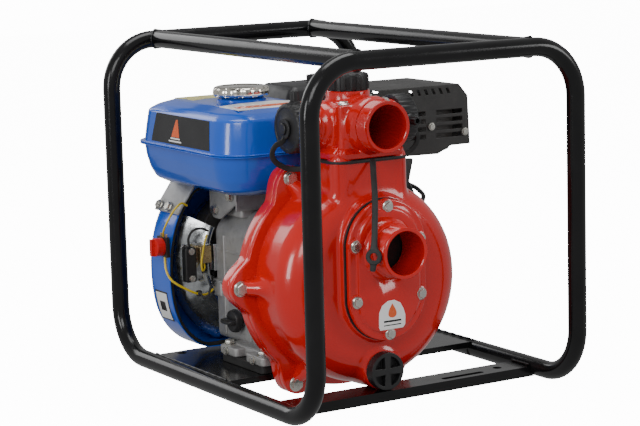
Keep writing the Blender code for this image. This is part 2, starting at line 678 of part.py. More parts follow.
def crankshaft():
    """Shaft, webs and crank pin in one forging, with the flywheel on its tail."""
    nose = [(0, -104), (10, -104), (10, -37), (15, -36), (15, 22), (0, 22)]
    shaft = turned("crankshaft", nose, 16, "cast_iron")
    tail = turned("crank_tail", [(0, 68), (15, 68), (15, 120), (11, 121), (11, 172), (0, 172)], 16)
    webs = []
    for index, (low, high) in enumerate(((20, 34), (56, 70))):
        webs.append(turned(f"crank_web_{index + 1}", [(44, low), (44, high)], 20))
    pin_x = AXIS_X + 27 * math.cos(TILT)
    pin_z = AXIS_Z + 27 * math.sin(TILT)
    pin = rod("crank_pin", (pin_x, 30, pin_z), (pin_x, 60, pin_z), 14, 20)
    join(shaft, *webs, tail, pin)
    section = [
        (11.3, 134), (30, 134), (30, 140), (FLYWHEEL_R, 140), (FLYWHEEL_R, 166), (80, 166), (78, 150),
        (30, 150), (30, 160), (11.3, 160),
    ]
    turned("flywheel", section, 24, "cast_iron", closed=True)


def fan_radius(turn):
    """Scroll-shaped outline of the fan cover: round, but flat above, below and at the right."""
    sweep = math.degrees(turn) % 360
    off_corner = min(abs((sweep - 45 + 180) % 360 - 180), 90)
    upper_right = 0.5 + 0.5 * math.cos(math.radians(2 * off_corner))
    lower_left = math.exp(-((sweep - 219) / 24) ** 2)
    lower_right = math.exp(-((sweep - 320) / 30) ** 2)
    scroll = FAN_R + 13 * lower_left + 22 * upper_right - 8 * lower_right
    side, rise = math.cos(turn), math.sin(turn)
    limits = [scroll]
    if rise > 0.05:
        limits.append((230 - AXIS_Z) / rise)
    if rise < -0.05:
        limits.append((AXIS_Z - 24) / -rise)
    if side > 0.05:
        limits.append(134 / side)
    return min(limits)


def fan_side():
    """Fan cover, recoil starter housing and starter grip."""
    turns = [2 * math.pi * (i + 0.5) / 36 for i in range(36)]

    def outline(inset, level, fixed=None):
        points = []
        for turn in turns:
            radius = fixed if fixed else fan_radius(turn) - inset
            points.append((AXIS_X + radius * math.cos(turn), level, AXIS_Z + radius * math.sin(turn)))
        return points

    rings = [
        outline(0, FAN_FRONT), outline(0, FAN_BACK - 10), outline(3, FAN_BACK - 3), outline(10, FAN_BACK),
        outline(0, FAN_BACK, 80), outline(0, FAN_BACK - 2, 80), outline(11, FAN_BACK - 2),
        outline(5, FAN_BACK - 4.5), outline(2, FAN_BACK - 11), outline(2, FAN_FRONT),
    ]
    loft("fan_cover", rings, "blue_paint", closed=True)
    shell = [
        (0, 212), (74, 212), (88, 206), (94, 196), (94, FAN_BACK + GAP), (91.5, FAN_BACK + GAP),
        (91.5, 195.5), (86.5, 204), (73.5, 209.5), (0, 209.5),
    ]
    turned("recoil_housing", shell, 24, "blue_paint")
    grip_x, _, grip_z = PIVOTS["starter_grip"]
    grip = rod("starter_grip", (grip_x - 33, 232, grip_z), (grip_x + 33, 232, grip_z), 9, 14, "black_plastic")
    stem = rod("grip_stem", (grip_x, 212 + GAP, grip_z), (grip_x, 232, grip_z), 6.5, 12)
    join(grip, stem)


def muffler_side():
    """Muffler, its slotted shield, carburettor and air cleaner."""
    wall = 1.6
    body = prism("muffler", rounded_rectangle((44, 266), (158, 334), 16, 3), "Y", -24, 72, "cast_iron")
    join(body, rod("exhaust_pipe", along_bore(138, 44 + GAP, 25), along_bore(138, 84, 25), 12, 16))
    room = rounded_rectangle((44 + wall, 266 + wall), (158 - wall, 334 - wall), 16 - wall, 3)
    cut(body, prism("muffler_room", room, "Y", -24 + wall, 72 - wall))
    cut(body, rod("exhaust_bore", along_bore(138, 40, 25), along_bore(138, 96, 25), 10, 16))
    outer = [(40, 350), (159, 350), (172, 335), (174.5, 274)]
    inner = [(174.5 - wall, 274), (172 - wall, 334.2), (158.2, 350 - wall), (40, 350 - wall)]
    shield = prism("muffler_shield", outer + inner, "Y", -38, 78, "shield_paint")
    face = [(40, 349.4), (158.6, 349.4), (171.4, 334.6), (173.6, 274), (146, 274), (126, 265), (40, 267)]
    join(shield, prism("shield_face", face, "Y", -38, -38 + wall))
    for column, (low, high) in enumerate(((69, 108), (124, 163))):
        for row in range(4):
            z = 316.5 - 9.6 * row
            name = f"shield_slot_{column + 1}_{row + 1}"
            cut(shield, box(name, (low, -45, z - 2.6), (high, -30, z + 2.6)))
    for index in range(6):
        x = 88 + 10.8 * index
        tilted = [(x - 3.4, 346.2), (x + 0.4, 346.2), (x + 3.4, 339.2), (x - 0.4, 339.2)]
        cut(shield, prism(f"shield_vent_{index + 1}", tilted, "Y", -45, -30))
    carburettor = box("carburettor", (64, 92 + GAP, 206), (100, 126, 246), "cast_aluminium")
    join(carburettor, rod("float_bowl", (82, 111, 186), (82, 111, 210), 15, 16))
    elbow = box("intake_elbow", (67, 96, 240), (97, 124, 250 - GAP))
    join(carburettor, elbow)
    base_outline = rounded_rectangle((6, 112), (134, 204), 14, 3)
    prism("air_cleaner_base", base_outline, "Z", 250, 318, "black_plastic")
    rings = []
    for inset, level in ((-3, 318 + GAP), (-3, 326), (3, 340), (10, 346)):
        rings.append([(x, y, level) for x, y in rounded_rectangle((6 + inset, 112 + inset),
                                                                  (134 - inset, 204 - inset), 14, 3)])
    loft("air_cleaner_lid", rings, "black_plastic")


def tank_ring(inset, level):
    """Rounded outline of the fuel tank at one level."""
    low = (TANK_X[0] + inset, TANK_Y[0] + inset)
    high = (TANK_X[1] - inset, TANK_Y[1] - inset)
    return [(x, y, level) for x, y in rounded_rectangle(low, high, TANK_CORNER - 0.5 * inset, 3)]


def fuel_tank():
    """Two pressed shells that meet at a flange, the screw cap, and the tank's brackets."""
    outer = [(0.5, 0), (2, -16), (6, -32), (12, -44), (24, -50)]
    rings = [tank_ring(inset + SHEET, TANK_SEAM + drop + SHEET) for inset, drop in outer[:0:-1]]
    rings.append(tank_ring(0.5 + SHEET, TANK_SEAM - GAP / 2))
    rings.append(tank_ring(-4.5, TANK_SEAM - GAP / 2))
    rings.append(tank_ring(-4.5, TANK_SEAM - 2))
    rings.append(tank_ring(0.5, TANK_SEAM - 2))
    rings += [tank_ring(inset, TANK_SEAM + drop) for inset, drop in outer[1:]]
    loft("tank_lower_shell", rings, "blue_paint")
    outer = [(0.5, 0), (2.5, 18), (6, 41), (16, 47), (34, 52.5), (58, 54)]
    rings = [tank_ring(inset + SHEET, TANK_SEAM + rise - SHEET) for inset, rise in outer[:0:-1]]
    rings.append(tank_ring(0.5 + SHEET, TANK_SEAM + GAP / 2))
    rings.append(tank_ring(-4.5, TANK_SEAM + GAP / 2))
    rings.append(tank_ring(-4.5, TANK_SEAM + 2))
    rings.append(tank_ring(0.5, TANK_SEAM + 2))
    rings += [tank_ring(inset, TANK_SEAM + rise) for inset, rise in outer[1:]]
    upper = loft("tank_upper_shell", rings, "blue_paint")
    neck = rod("filler_neck", (*FUEL_CAP, 330), (*FUEL_CAP, 344), 27, 28)
    join(upper, neck)
    cut(upper, rod("filler_mouth", (*FUEL_CAP, 320), (*FUEL_CAP, 360), 22, 24))
    cap = [
        (0, 357), (33, 356.4), (35.2, 354), (35.2, 346), (31, 344 + GAP), (19, 344 + GAP), (19, 336),
        (0, 336),
    ]
    lathe("fuel_cap", cap, (*FUEL_CAP, 0), (0, 0, 1), 24, "chrome")
    left = box("tank_bracket_front", (-110.5, 54, 192), (-107.5, 122, 235.4), "cast_aluminium")
    join(left, box("bracket_return", (-110, 54, 206), (-66, 57, 235.4)))
    outline = []
    for turn, radius in ((153, 133.6), (153, 136.4), (135.2, 136.4), (135.2, 133.6)):
        angle = math.radians(turn)
        outline.append((AXIS_X + radius * math.cos(angle), AXIS_Z + radius * math.sin(angle)))
    prism("tank_bracket_rear", outline, "Y", 124, 186, "cast_aluminium")


def small_controls():
    """Engine switch, oil caps, and the throttle, choke and fuel-tap levers."""
    box("switch_base", (-170, 127, 146), (-165.6, 153, 171), "black_plastic")
    knob_x, knob_y, knob_z = PIVOTS["switch_knob"]
    knob = rod("switch_knob", (knob_x - GAP, knob_y, knob_z), (knob_x - 11, knob_y, knob_z), 11.5, 18,
               "red_plastic")
    wing_low = (knob_x - 16, knob_y - 3, knob_z - 10.5)
    wing_high = (knob_x - 8, knob_y + 3, knob_z + 10.5)
    join(knob, box("knob_wing", wing_low, wing_high))
    for name, side in (("left_oil_cap", -1), ("right_oil_cap", 1)):
        face, y, z = PIVOTS[name]
        start = (face + side * GAP, y, z)
        cap = lathe(name, [(10, 0), (10, 4), (14.5, 5), (13.5, 13)], start, (side, 0, 0), 16, "black_plastic")
        low, high = sorted((face + side * 10, face + side * 22))
        join(cap, box(name + "_wing", (low, y - 13, z - 4), (high, y + 13, z + 4)))
    arm = [(66, 201), (74, 201), (112, 232), (108, 238), (66, 209)]
    throttle = prism("throttle_lever", arm, "Y", FAN_BACK + GAP, FAN_BACK + 3.3, "zinc_steel")
    join(throttle, rod("throttle_knob", (109, FAN_BACK + 1, 234), (109, FAN_BACK + 14, 234), 6, 12))
    for name, reach in (("choke_lever", 24), ("fuel_tap_lever", 20)):
        face, y, z = PIVOTS[name]
        hub = rod(name, (face + GAP, y, z), (face + 5, y, z), 5.5, 12, "black_plastic")
        join(hub, box(name + "_arm", (face + 1, y, z - 3.5), (face + 4.6, y + reach, z + 3.5)))


def sensor_wire():
    """The switch's lead down to the oil sensor, held at both ends."""
    knots = [(-168, 137, 145.6), (-169.5, 132, 130), (-165.5, 125, 117), (-150, 120.6, 106), (-132, 120, 97),
             (-120, 120.5, 95), (-111, 121.6, 99), (-107.6, 122, 103)]
    tube("sensor_wire", smooth_route(knots, 18), 1.5, "yellow_pvc", 2)


def put_origins_on_axes():
    """Give each moving piece its origin on its own axis, with its shape left where it is."""
    for name, place in PIVOTS.items():
        moving = bpy.data.objects[name]
        pivot = MM * Vector(place)
        moving.data.transform(Matrix.Translation(-pivot))
        moving.location = pivot


def build():
    for thing in list(bpy.data.objects):
        bpy.data.objects.remove(thing, do_unlink=True)
    frame_tubes()
    top_rails()
    base_sheets()
    holes = bolt_holes()
    pump_casing(holes)
    back_cover(holes)
    flange_bolts()
    pump_internals()
    suction_side()
    discharge_head()
    plugs_and_caps()
    tethers()
    crankcase()
    crankshaft()
    fan_side()
    muffler_side()
    fuel_tank()
    small_controls()
    sensor_wire()
    put_origins_on_axes()


build()
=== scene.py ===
"""Fine surfaces, materials, light and camera for a portable fire pump in a tube frame.

Sizes are in millimetres in the row frame (+Z up, -Y towards the suction port, -X towards the
fuel tank) and become metres when a mesh is made.
"""
import math

import bmesh
import bpy
import numpy as np
from mathutils import Matrix, Vector


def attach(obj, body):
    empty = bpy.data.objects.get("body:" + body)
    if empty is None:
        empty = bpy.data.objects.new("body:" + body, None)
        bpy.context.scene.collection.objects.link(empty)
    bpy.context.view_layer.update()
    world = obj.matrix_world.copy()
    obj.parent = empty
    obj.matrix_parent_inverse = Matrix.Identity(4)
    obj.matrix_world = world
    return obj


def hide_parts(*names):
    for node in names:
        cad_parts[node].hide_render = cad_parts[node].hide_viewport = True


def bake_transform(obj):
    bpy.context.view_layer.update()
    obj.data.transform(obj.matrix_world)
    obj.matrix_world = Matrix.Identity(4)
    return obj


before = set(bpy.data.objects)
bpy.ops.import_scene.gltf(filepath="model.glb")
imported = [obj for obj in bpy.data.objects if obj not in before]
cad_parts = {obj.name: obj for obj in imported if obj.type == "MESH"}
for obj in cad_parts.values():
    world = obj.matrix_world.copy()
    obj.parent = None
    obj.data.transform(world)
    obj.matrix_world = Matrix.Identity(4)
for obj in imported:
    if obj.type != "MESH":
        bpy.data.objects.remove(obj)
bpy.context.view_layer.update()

MM = 0.001
TAU = 2 * math.pi
TIP = 0.01  # the radius that closes a turned profile on its axis
UP = (0, 0, 1)
BACK = (0, 1, 0)
FRONT = (0, -1, 0)

# ---- the shared shaft line, and the frame's centre lines ----
SHAFT_X = -34.0
SHAFT_Z = 137.0
HALF_W = 181.0
HALF_L = 241.3
TUBE_R = 11.0
TUBE_TOP = 408.5
BEND_R = 60.0
RAIL_X = 116.6


# ---------------------------------------------------------------- materials

def set_inputs(node, **values):
    """Give a node's inputs their values; an underscore stands for a space in a name."""
    for name, value in values.items():
        node.inputs[name.replace("_", " ")].default_value = value


class Finish:
    """One procedural material: noise on Object coordinates drives its colour, gloss and relief."""

    def __init__(self, name, colour, rough, metal=0.0, slot=None, coat=0.0, vary=0.12, grain=900.0,
                 relief=0.05, cloud=18.0, gloss_vary=0.08, specular=0.5, dirt=None, dirt_amount=0.0):
        made = bpy.data.materials.new(name)
        made.use_nodes = True
        self.material = made
        self.slot = slot or name
        self.nodes = made.node_tree.nodes
        self.links = made.node_tree.links
        self.shader = self.nodes["Principled BSDF"]
        set_inputs(self.shader, Metallic=metal, Coat_Weight=coat, Coat_Roughness=0.06,
                   Specular_IOR_Level=specular)
        where = self.nodes.new("ShaderNodeTexCoord").outputs["Object"]
        broad = self.noise(where, cloud, 4.0, 0.55)
        fine = self.noise(where, grain, 3.0, 0.6)
        light = tuple(min(c * (1 + vary) + 0.004, 1.0) for c in colour)
        dark = tuple(c * (1 - vary) for c in colour)
        tone = self.ramp(broad, ((0.3, dark), (0.7, light)))
        if dirt:
            patches = self.noise(where, cloud * 3.1, 6.0, 0.7)
            mask = self.ramp(patches, ((0.52, (0, 0, 0)), (0.72, (dirt_amount,) * 3)))
            mix = self.nodes.new("ShaderNodeMix")
            mix.data_type = "RGBA"
            self.links.new(mask, mix.inputs["Factor"])
            self.links.new(tone, mix.inputs["A"])
            mix.inputs["B"].default_value = (*dirt, 1.0)
            tone = mix.outputs["Result"]
        self.links.new(tone, self.shader.inputs["Base Color"])
        low = max(rough - gloss_vary, 0.02)
        gloss = self.ramp(self.noise(where, cloud * 2.3, 5.0, 0.6),
                          ((0.3, (low,) * 3), (0.75, (rough + gloss_vary,) * 3)))
        self.links.new(gloss, self.shader.inputs["Roughness"])
        bump = self.nodes.new("ShaderNodeBump")
        set_inputs(bump, Strength=relief, Distance=MM)
        self.links.new(fine, bump.inputs["Height"])
        self.links.new(bump.outputs["Normal"], self.shader.inputs["Normal"])

    def noise(self, where, scale, detail, roughness):
        """A noise texture's value at the given coordinates."""
        node = self.nodes.new("ShaderNodeTexNoise")
        set_inputs(node, Scale=scale, Detail=detail, Roughness=roughness)
        self.links.new(where, node.inputs["Vector"])
        return node.outputs["Fac"]

    def ramp(self, value, stops):
        """A two-stop colour ramp driven by a value."""
        node = self.nodes.new("ShaderNodeValToRGB")
        for mark, (place, colour) in zip(node.color_ramp.elements, stops):
            mark.position = place
            mark.color = (*colour, 1.0)
        self.links.new(value, node.inputs["Fac"])
        return node.outputs["Color"]


LOOKS = {
    "red_paint": Finish("red_enamel", (0.62, 0.006, 0.002), 0.2, slot="red_paint", coat=0.5, vary=0.08,
                        grain=240.0, relief=0.045, cloud=9.0, gloss_vary=0.05),
    "blue_paint": Finish("blue_enamel", (0.006, 0.1, 0.6), 0.22, slot="blue_paint", coat=0.5, vary=0.07,
                         grain=260.0, relief=0.03, cloud=8.0, gloss_vary=0.05),
    "black_paint": Finish("black_powder_coat", (0.0025, 0.0025, 0.003), 0.19, slot="black_paint",
                          coat=0.12, specular=0.3, vary=0.25, grain=420.0, relief=0.06, cloud=14.0,
                          gloss_vary=0.07, dirt=(0.03, 0.028, 0.026), dirt_amount=0.05),
    "shield_paint": Finish("heat_paint", (0.022, 0.021, 0.02), 0.5, slot="shield_paint", vary=0.2,
                           grain=700.0, relief=0.16, cloud=25.0, dirt=(0.07, 0.065, 0.06),
                           dirt_amount=0.18),
    "black_plastic": Finish("moulded_plastic", (0.011, 0.011, 0.012), 0.45, slot="black_plastic",
                            vary=0.2, grain=1500.0, relief=0.12, cloud=30.0),
    "black_rubber": Finish("moulded_rubber", (0.014, 0.014, 0.014), 0.62, slot="black_rubber",
                           vary=0.25, grain=1100.0, relief=0.15, cloud=35.0,
                           dirt=(0.08, 0.08, 0.078), dirt_amount=0.15),
    "red_plastic": Finish("red_knob_plastic", (0.62, 0.012, 0.012), 0.32, slot="red_plastic", vary=0.08,
                          grain=1200.0, relief=0.05, cloud=40.0),
    "cast_aluminium": Finish("cast_aluminium", (0.4, 0.4, 0.395), 0.47, metal=0.55, slot="cast_aluminium",
                             vary=0.14, grain=1300.0, relief=0.35, cloud=30.0,
                             dirt=(0.2, 0.19, 0.18), dirt_amount=0.45),
    "cast_iron": Finish("cast_iron", (0.1, 0.097, 0.093), 0.6, metal=0.6, slot="cast_iron", vary=0.2,
                        grain=800.0, relief=0.4, cloud=40.0, dirt=(0.12, 0.05, 0.02), dirt_amount=0.3),
    "zinc_steel": Finish("zinc_plate", (0.62, 0.61, 0.56), 0.28, metal=0.95, slot="zinc_steel",
                         vary=0.1, grain=900.0, relief=0.035, cloud=120.0, gloss_vary=0.12),
    "chrome": Finish("chrome_plate", (0.8, 0.76, 0.68), 0.17, metal=1.0, slot="chrome", vary=0.04,
                     grain=600.0, relief=0.02, cloud=60.0, gloss_vary=0.04),
    "yellow_pvc": Finish("yellow_lead", (0.72, 0.52, 0.02), 0.35, slot="yellow_pvc", vary=0.1,
                         grain=1800.0, relief=0.05, cloud=60.0),
    "shroud_steel": Finish("galvanised_sheet", (0.5, 0.52, 0.53), 0.2, metal=0.95, slot="zinc_steel",
                           vary=0.2, grain=300.0, relief=0.12, cloud=50.0, gloss_vary=0.14,
                           dirt=(0.3, 0.3, 0.3), dirt_amount=0.5),
    "relay_brass": Finish("yellow_passivate", (0.48, 0.36, 0.18), 0.3, metal=0.85, slot="zinc_steel",
                          vary=0.12, grain=1500.0, relief=0.1, cloud=90.0),
    "white_print": Finish("white_vinyl", (0.86, 0.86, 0.85), 0.22, slot="red_plastic", vary=0.02,
                          grain=500.0, relief=0.02, cloud=30.0),
    "black_print": Finish("black_vinyl", (0.012, 0.012, 0.013), 0.2, slot="black_plastic", vary=0.15,
                          grain=500.0, relief=0.02, cloud=30.0),
    "orange_print": Finish("orange_vinyl", (0.75, 0.12, 0.03), 0.25, slot="red_plastic", vary=0.06,
                           grain=500.0, relief=0.02, cloud=60.0),
    "yellow_print": Finish("yellow_vinyl", (0.78, 0.7, 0.2), 0.25, slot="yellow_pvc", vary=0.05,
                           grain=500.0, relief=0.02, cloud=60.0),
    # Near-black with a dull red tint: painted shade for the dark insides of bores and vent grooves, not the
    # colour of any part.
    "painted_shade_cavity": Finish("painted_shade_inside", (0.012, 0.006, 0.006), 0.5, slot="black_plastic", vary=0.3,
                          grain=600.0, relief=0.2, cloud=40.0),
}


# ---------------------------------------------------------------- making pieces

def settle(piece, look, body="chassis", nodes=(), sharp=35.0):
    """Give a finished piece its material, smooth shading, body and the CAD nodes that it stands for.

    A piece that passes None for its body rides on no body.
    """
    finish = LOOKS[look]
    piece.data.materials.clear()
    piece.data.materials.append(finish.material)
    if piece.type == "MESH":
        piece.data.shade_smooth()
        piece.data.set_sharp_from_angle(angle=math.radians(sharp))
    if body:
        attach(piece, body)
    if nodes:
        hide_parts(*nodes)
    return piece


def linked(name, data):
    """A new object in the scene."""
    made = bpy.data.objects.new(name, data)
    bpy.context.scene.collection.objects.link(made)
    return made


def object_from(name, points, faces):
    """A linked mesh object from millimetre points; doubles merged and faces turned outwards."""
    data = bpy.data.meshes.new(name)
    data.from_pydata((np.asarray(points, float) * MM).tolist(), [], faces)
    work = bmesh.new()
    work.from_mesh(data)
    bmesh.ops.remove_doubles(work, verts=work.verts, dist=2e-6)
    bmesh.ops.recalc_face_normals(work, faces=work.faces)
    work.to_mesh(data)
    work.free()
    return linked(name, data)


def grid_faces(rows, columns, offset=0, round_rows=False):
    """Quads between neighbouring rows of a grid whose columns close on themselves, plus end caps."""
    index = np.arange(rows * columns).reshape(rows, columns) + offset
    below = index if round_rows else index[:-1]
    above = np.roll(index, -1, 0) if round_rows else index[1:]
    quads = np.stack([below, np.roll(below, -1, 1), np.roll(above, -1, 1), above], -1).reshape(-1, 4)
    faces = quads.tolist()
    if not round_rows:
        faces.append(index[0][::-1].tolist())
        faces.append(index[-1].tolist())
    return faces


def skins(name, grids, look, body="chassis", nodes=(), sharp=35.0, round_rows=False):
    """One piece from one or more closed grids of shape (rows, columns, 3)."""
    points = []
    faces = []
    offset = 0
    for grid in grids:
        grid = np.asarray(grid, float)
        rows, columns = grid.shape[:2]
        faces += grid_faces(rows, columns, offset, round_rows)
        points.append(grid.reshape(-1, 3))
        offset += rows * columns
    return settle(object_from(name, np.concatenate(points), faces), look, body, nodes, sharp)


def unit(vector):
    """Vectors scaled to length one."""
    vector = np.asarray(vector, float)
    return vector / np.linalg.norm(vector, axis=-1, keepdims=True)


def about_shaft(radius, turn, level):
    """Points at a radius and angle about the shaft's axis, at a level along it."""
    side, rise = SHAFT_X + radius * np.cos(turn), SHAFT_Z + radius * np.sin(turn)
    return np.stack([side, np.broadcast_to(level, side.shape), rise], -1)


def across(direction):
    """A direction's unit vector, and two more at right angles to it."""
    along = unit(direction)
    side = np.array([0, 0, 1.0]) if abs(along[2]) < 0.9 else np.array([1.0, 0, 0])
    first = unit(np.cross(along, side))
    return along, first, np.cross(along, first)


def turned(profile, origin, direction, sides=64, wave=None):
    """Surface of revolution: (radius, distance) pairs carried round an axis.

    wave, if given, is a function of the angle and the profile's row number that scales the radius.
    """
    along, first, second = across(direction)
    profile = np.asarray(profile, float)
    turn = np.arange(sides) * TAU / sides
    radius = np.repeat(profile[:, :1], sides, 1)
    if wave:
        radius = radius * wave(turn[None, :], np.arange(len(profile))[:, None])
    ring = np.cos(turn)[:, None] * first + np.sin(turn)[:, None] * second
    return np.asarray(origin, float) + radius[..., None] * ring + profile[:, 1, None, None] * along


def thread(radius, start, end, origin, direction, bore, pitch=2.3, depth=0.9, sides=72, lip=2.2):
    """A threaded spigot: the radius falls by a triangle wave of the helix's phase, with a bore inside."""
    along, first, second = across(direction)
    turn = np.arange(sides) * TAU / sides
    level = np.linspace(start, end, int(abs(end - start) / 0.45))
    phase = (level[:, None] / pitch - turn[None, :] / TAU) % 1.0
    fade = np.clip((abs(level - end) - lip) / 1.5, 0, 1) * np.clip(abs(level - start) / 1.5, 0, 1)
    outer = radius - depth * (1 - np.abs(2 * phase - 1)) * fade[:, None]
    rows = [np.stack([outer, np.repeat(level[:, None], sides, 1)], -1)]
    sign = 1 if end > start else -1
    for r, s in ((radius - 0.6, end), (bore + 0.8, end), (bore, end - sign * 0.8), (bore, start)):
        rows.append(np.full((1, sides, 2), (r, s)))
    rows = np.concatenate(rows)
    rows[len(level) - 1, :, 1] -= sign * 0.6
    ring = np.cos(turn)[:, None] * first + np.sin(turn)[:, None] * second
    return np.asarray(origin, float) + rows[..., :1] * ring + rows[..., 1:] * along


def arc(centre, radius, start, end, steps):
    """Points of an arc in a plane; angles in degrees."""
    turn = np.radians(np.linspace(start, end, steps + 1))
    return np.stack([centre[0] + radius * np.cos(turn), centre[1] + radius * np.sin(turn)], -1)


def rounded_rectangle(low, high, radius, steps=8):
    """Four quarter arcs, counter-clockwise from the high corner."""
    corners = (((high[0] - radius, high[1] - radius), 0), ((low[0] + radius, high[1] - radius), 90),
               ((low[0] + radius, low[1] + radius), 180), ((high[0] - radius, low[1] + radius), 270))
    return np.concatenate([arc(centre, radius, start, start + 90, steps) for centre, start in corners])


def oblong(radius, low_z, high_z, steps=24):
    """Two half circles joined by straight sides, in x and z on the shaft's plane."""
    return np.concatenate([arc((SHAFT_X, high_z), radius, 0, 180, steps),
                           arc((SHAFT_X, low_z), radius, 180, 360, steps)])


def inward(outline):
    """Unit normals that point into a counter-clockwise outline, averaged at its corners."""
    step = np.roll(outline, -1, 0) - outline
    keep = np.linalg.norm(step, axis=1) > 1e-9
    step[~keep] = np.roll(outline, -2, 0)[~keep] - outline[~keep]
    normal = unit(np.stack([-step[:, 1], step[:, 0]], -1))
    mean = normal + np.roll(normal, 1, 0)
    return mean / np.maximum((mean * mean).sum(1, keepdims=True) / 2, 0.5)


def placed(flat, axis, level):
    """Flat (a, b) points on a plane square to an axis."""
    a, b = flat[..., 0], flat[..., 1]
    level = np.full(a.shape, float(level))
    return np.stack({"X": (level, a, b), "Y": (a, level, b), "Z": (a, b, level)}[axis], -1)


def plate(outline, axis, steps):
    """Carry an outline along an axis through (inset, level) steps."""
    normal = inward(outline)
    return np.stack([placed(outline + inset * normal, axis, level) for inset, level in steps])


def soft_steps(low, high, radius, count=4):
    """(inset, level) steps of a slab whose two edges are rounded."""
    sign = 1 if high > low else -1
    turn = np.radians(np.linspace(0, 90, count + 1))
    first = [(radius * (1 - math.sin(t)), low + sign * radius * (1 - math.cos(t))) for t in turn]
    last = [(radius * (1 - math.cos(t)), high - sign * radius * (1 - math.sin(t))) for t in turn]
    return first + last


def slab(outline, axis, low, high, radius=1.0):
    """An outline carried between two levels, with rounded rims."""
    return plate(np.asarray(outline, float), axis, soft_steps(low, high, radius))


def tile(low, high, corner, steps, axis, start, end, edge=1.0):
    """A slab whose outline is a rounded rectangle."""
    return slab(rounded_rectangle(low, high, corner, steps), axis, start, end, edge)


def block(low, high, radius=1.0, edge=None):
    """A box with round upright corners and rounded rims."""
    outline = rounded_rectangle(low[:2], high[:2], edge or radius, 4)
    return slab(outline, "Z", low[2], high[2], radius)


def swept(path, section, up=(1.0, 1.0, 1.0)):
    """Carry a closed section along a path; the frame is squared to a fixed direction."""
    path = np.asarray(path, float)
    tangent = unit(np.gradient(path, axis=0))
    side = unit(np.cross(tangent, np.asarray(up, float)))
    rise = np.cross(side, tangent)
    section = np.asarray(section, float)
    return path[:, None] + section[None, :, :1] * side[:, None] + section[None, :, 1:] * rise[:, None]


def circle(radius, sides=24):
    """A closed ring of points about the origin."""
    turn = np.arange(sides) * TAU / sides
    return np.stack([radius * np.cos(turn), radius * np.sin(turn)], -1)


def curve_through(knots, count=60):
    """A Catmull-Rom curve through knots: each span blends its four neighbours with cubic weights."""
    knots = np.asarray(knots, float)
    padded = np.concatenate([2 * knots[:1] - knots[1:2], knots, 2 * knots[-1:] - knots[-2:-1]])
    step = np.linspace(0, len(knots) - 1, count)
    span = np.minimum(step.astype(int), len(knots) - 2)
    t = (step - span)[:, None]
    a, b, c, d = (padded[span + k] for k in range(4))
    square = (2 * a - 5 * b + 4 * c - d) * t ** 2
    cube = (3 * b - a - 3 * c + d) * t ** 3
    return 0.5 * (2 * b + (c - a) * t + square + cube)


def wire(name, knots, radius, look, sides=10):
    """A round lead on a smooth route."""
    route = curve_through(knots, 70)
    skins(name, [swept(route, circle(radius, sides), (0.31, 0.2, 0.93))], look, sharp=80)


def bored(piece, origin, direction, radius, start, end, overlapping=True):
    """Cut a round hole through a finished piece and keep the result as its mesh."""
    rod = turned([(radius, start), (radius, end)], origin, direction, 72)
    cutter = object_from("cutter", rod.reshape(-1, 3), grid_faces(2, 72))
    hole = piece.modifiers.new("Bore", "BOOLEAN")
    hole.operation = "DIFFERENCE"
    hole.solver = "EXACT"
    hole.use_self = overlapping
    hole.object = cutter
    bpy.context.view_layer.update()
    seen = piece.evaluated_get(bpy.context.evaluated_depsgraph_get())
    cut = bpy.data.meshes.new_from_object(seen)
    piece.modifiers.remove(hole)
    piece.data = cut
    bpy.data.objects.remove(cutter)
    return piece


def strap(name, knots, half_width, thickness, look, up, nodes):
    """A moulded rubber strap: a rounded flat section on a smooth route."""
    section = rounded_rectangle((-half_width, -thickness / 2), (half_width, thickness / 2),
                                thickness * 0.45, 3)
    skins(name, [swept(curve_through(knots, 60), section, up)], look, nodes=nodes, sharp=40)


def rounded_loop(corners, radius, steps=14):
    """A closed line through square corners, each replaced by a quarter arc."""
    corners = np.asarray(corners, float)
    coming = unit(corners - np.roll(corners, 1, 0))
    going = unit(np.roll(corners, -1, 0) - corners)
    turn = np.radians(np.linspace(0, 90, steps + 1))[None, :, None]
    centre = (corners + radius * (going - coming))[:, None]
    return (centre + radius * (coming[:, None] * np.sin(turn) - going[:, None] * np.cos(turn))).reshape(-1, 3)


def flanged_bolt(place, direction, across_flats=10.0, head=5.6, washer=18.0):
    """Grid of a hexagon bolt head with a washer flange; the hexagon's radius follows its flats."""
    turn_to_flat = TAU / 6
    corner = across_flats / 2 / math.cos(math.pi / 6)

    def hexagon(turn, row):
        off = (turn + turn_to_flat / 2) % turn_to_flat - turn_to_flat / 2
        flat = across_flats / 2 / np.cos(off) / corner
        return np.where(row > 3, np.minimum(flat, 1.0), 1.0)

    profile = [(washer / 2 - 0.5, 0), (washer / 2, 0.4), (washer / 2, 1.2), (corner + 0.6, 2.2),
               (corner, 2.3), (corner, head - 0.8), (corner * 0.93, head),
               (corner * 0.5, head + 0.05), (TIP, head)]
    return turned(profile, place, direction, 36, hexagon)


def bolts(name, places, direction, nodes=(), **sizes):
    """One piece of equal flanged bolts."""
    heads = [flanged_bolt(place, direction, **sizes) for place in places]
    skins(name, heads, "zinc_steel", nodes=nodes, sharp=28)


def soften(node, look, width=0.5, segments=2, angle=30.0):
    """Keep a CAD node, with its finish and a small live bevel on its edges."""
    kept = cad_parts[node]
    for index in range(len(kept.data.materials)):
        kept.data.materials[index] = LOOKS[look].material
    weld = kept.modifiers.new("Weld corners", "WELD")
    weld.merge_threshold = 2e-6
    if width:
        bevel = kept.modifiers.new("Soft edges", "BEVEL")
        bevel.width = width * MM
        bevel.segments = segments
        bevel.limit_method = "ANGLE"
        bevel.angle_limit = math.radians(angle)
        bevel.use_clamp_overlap = True
        bevel.harden_normals = False


# ---------------------------------------------------------------- camera and light

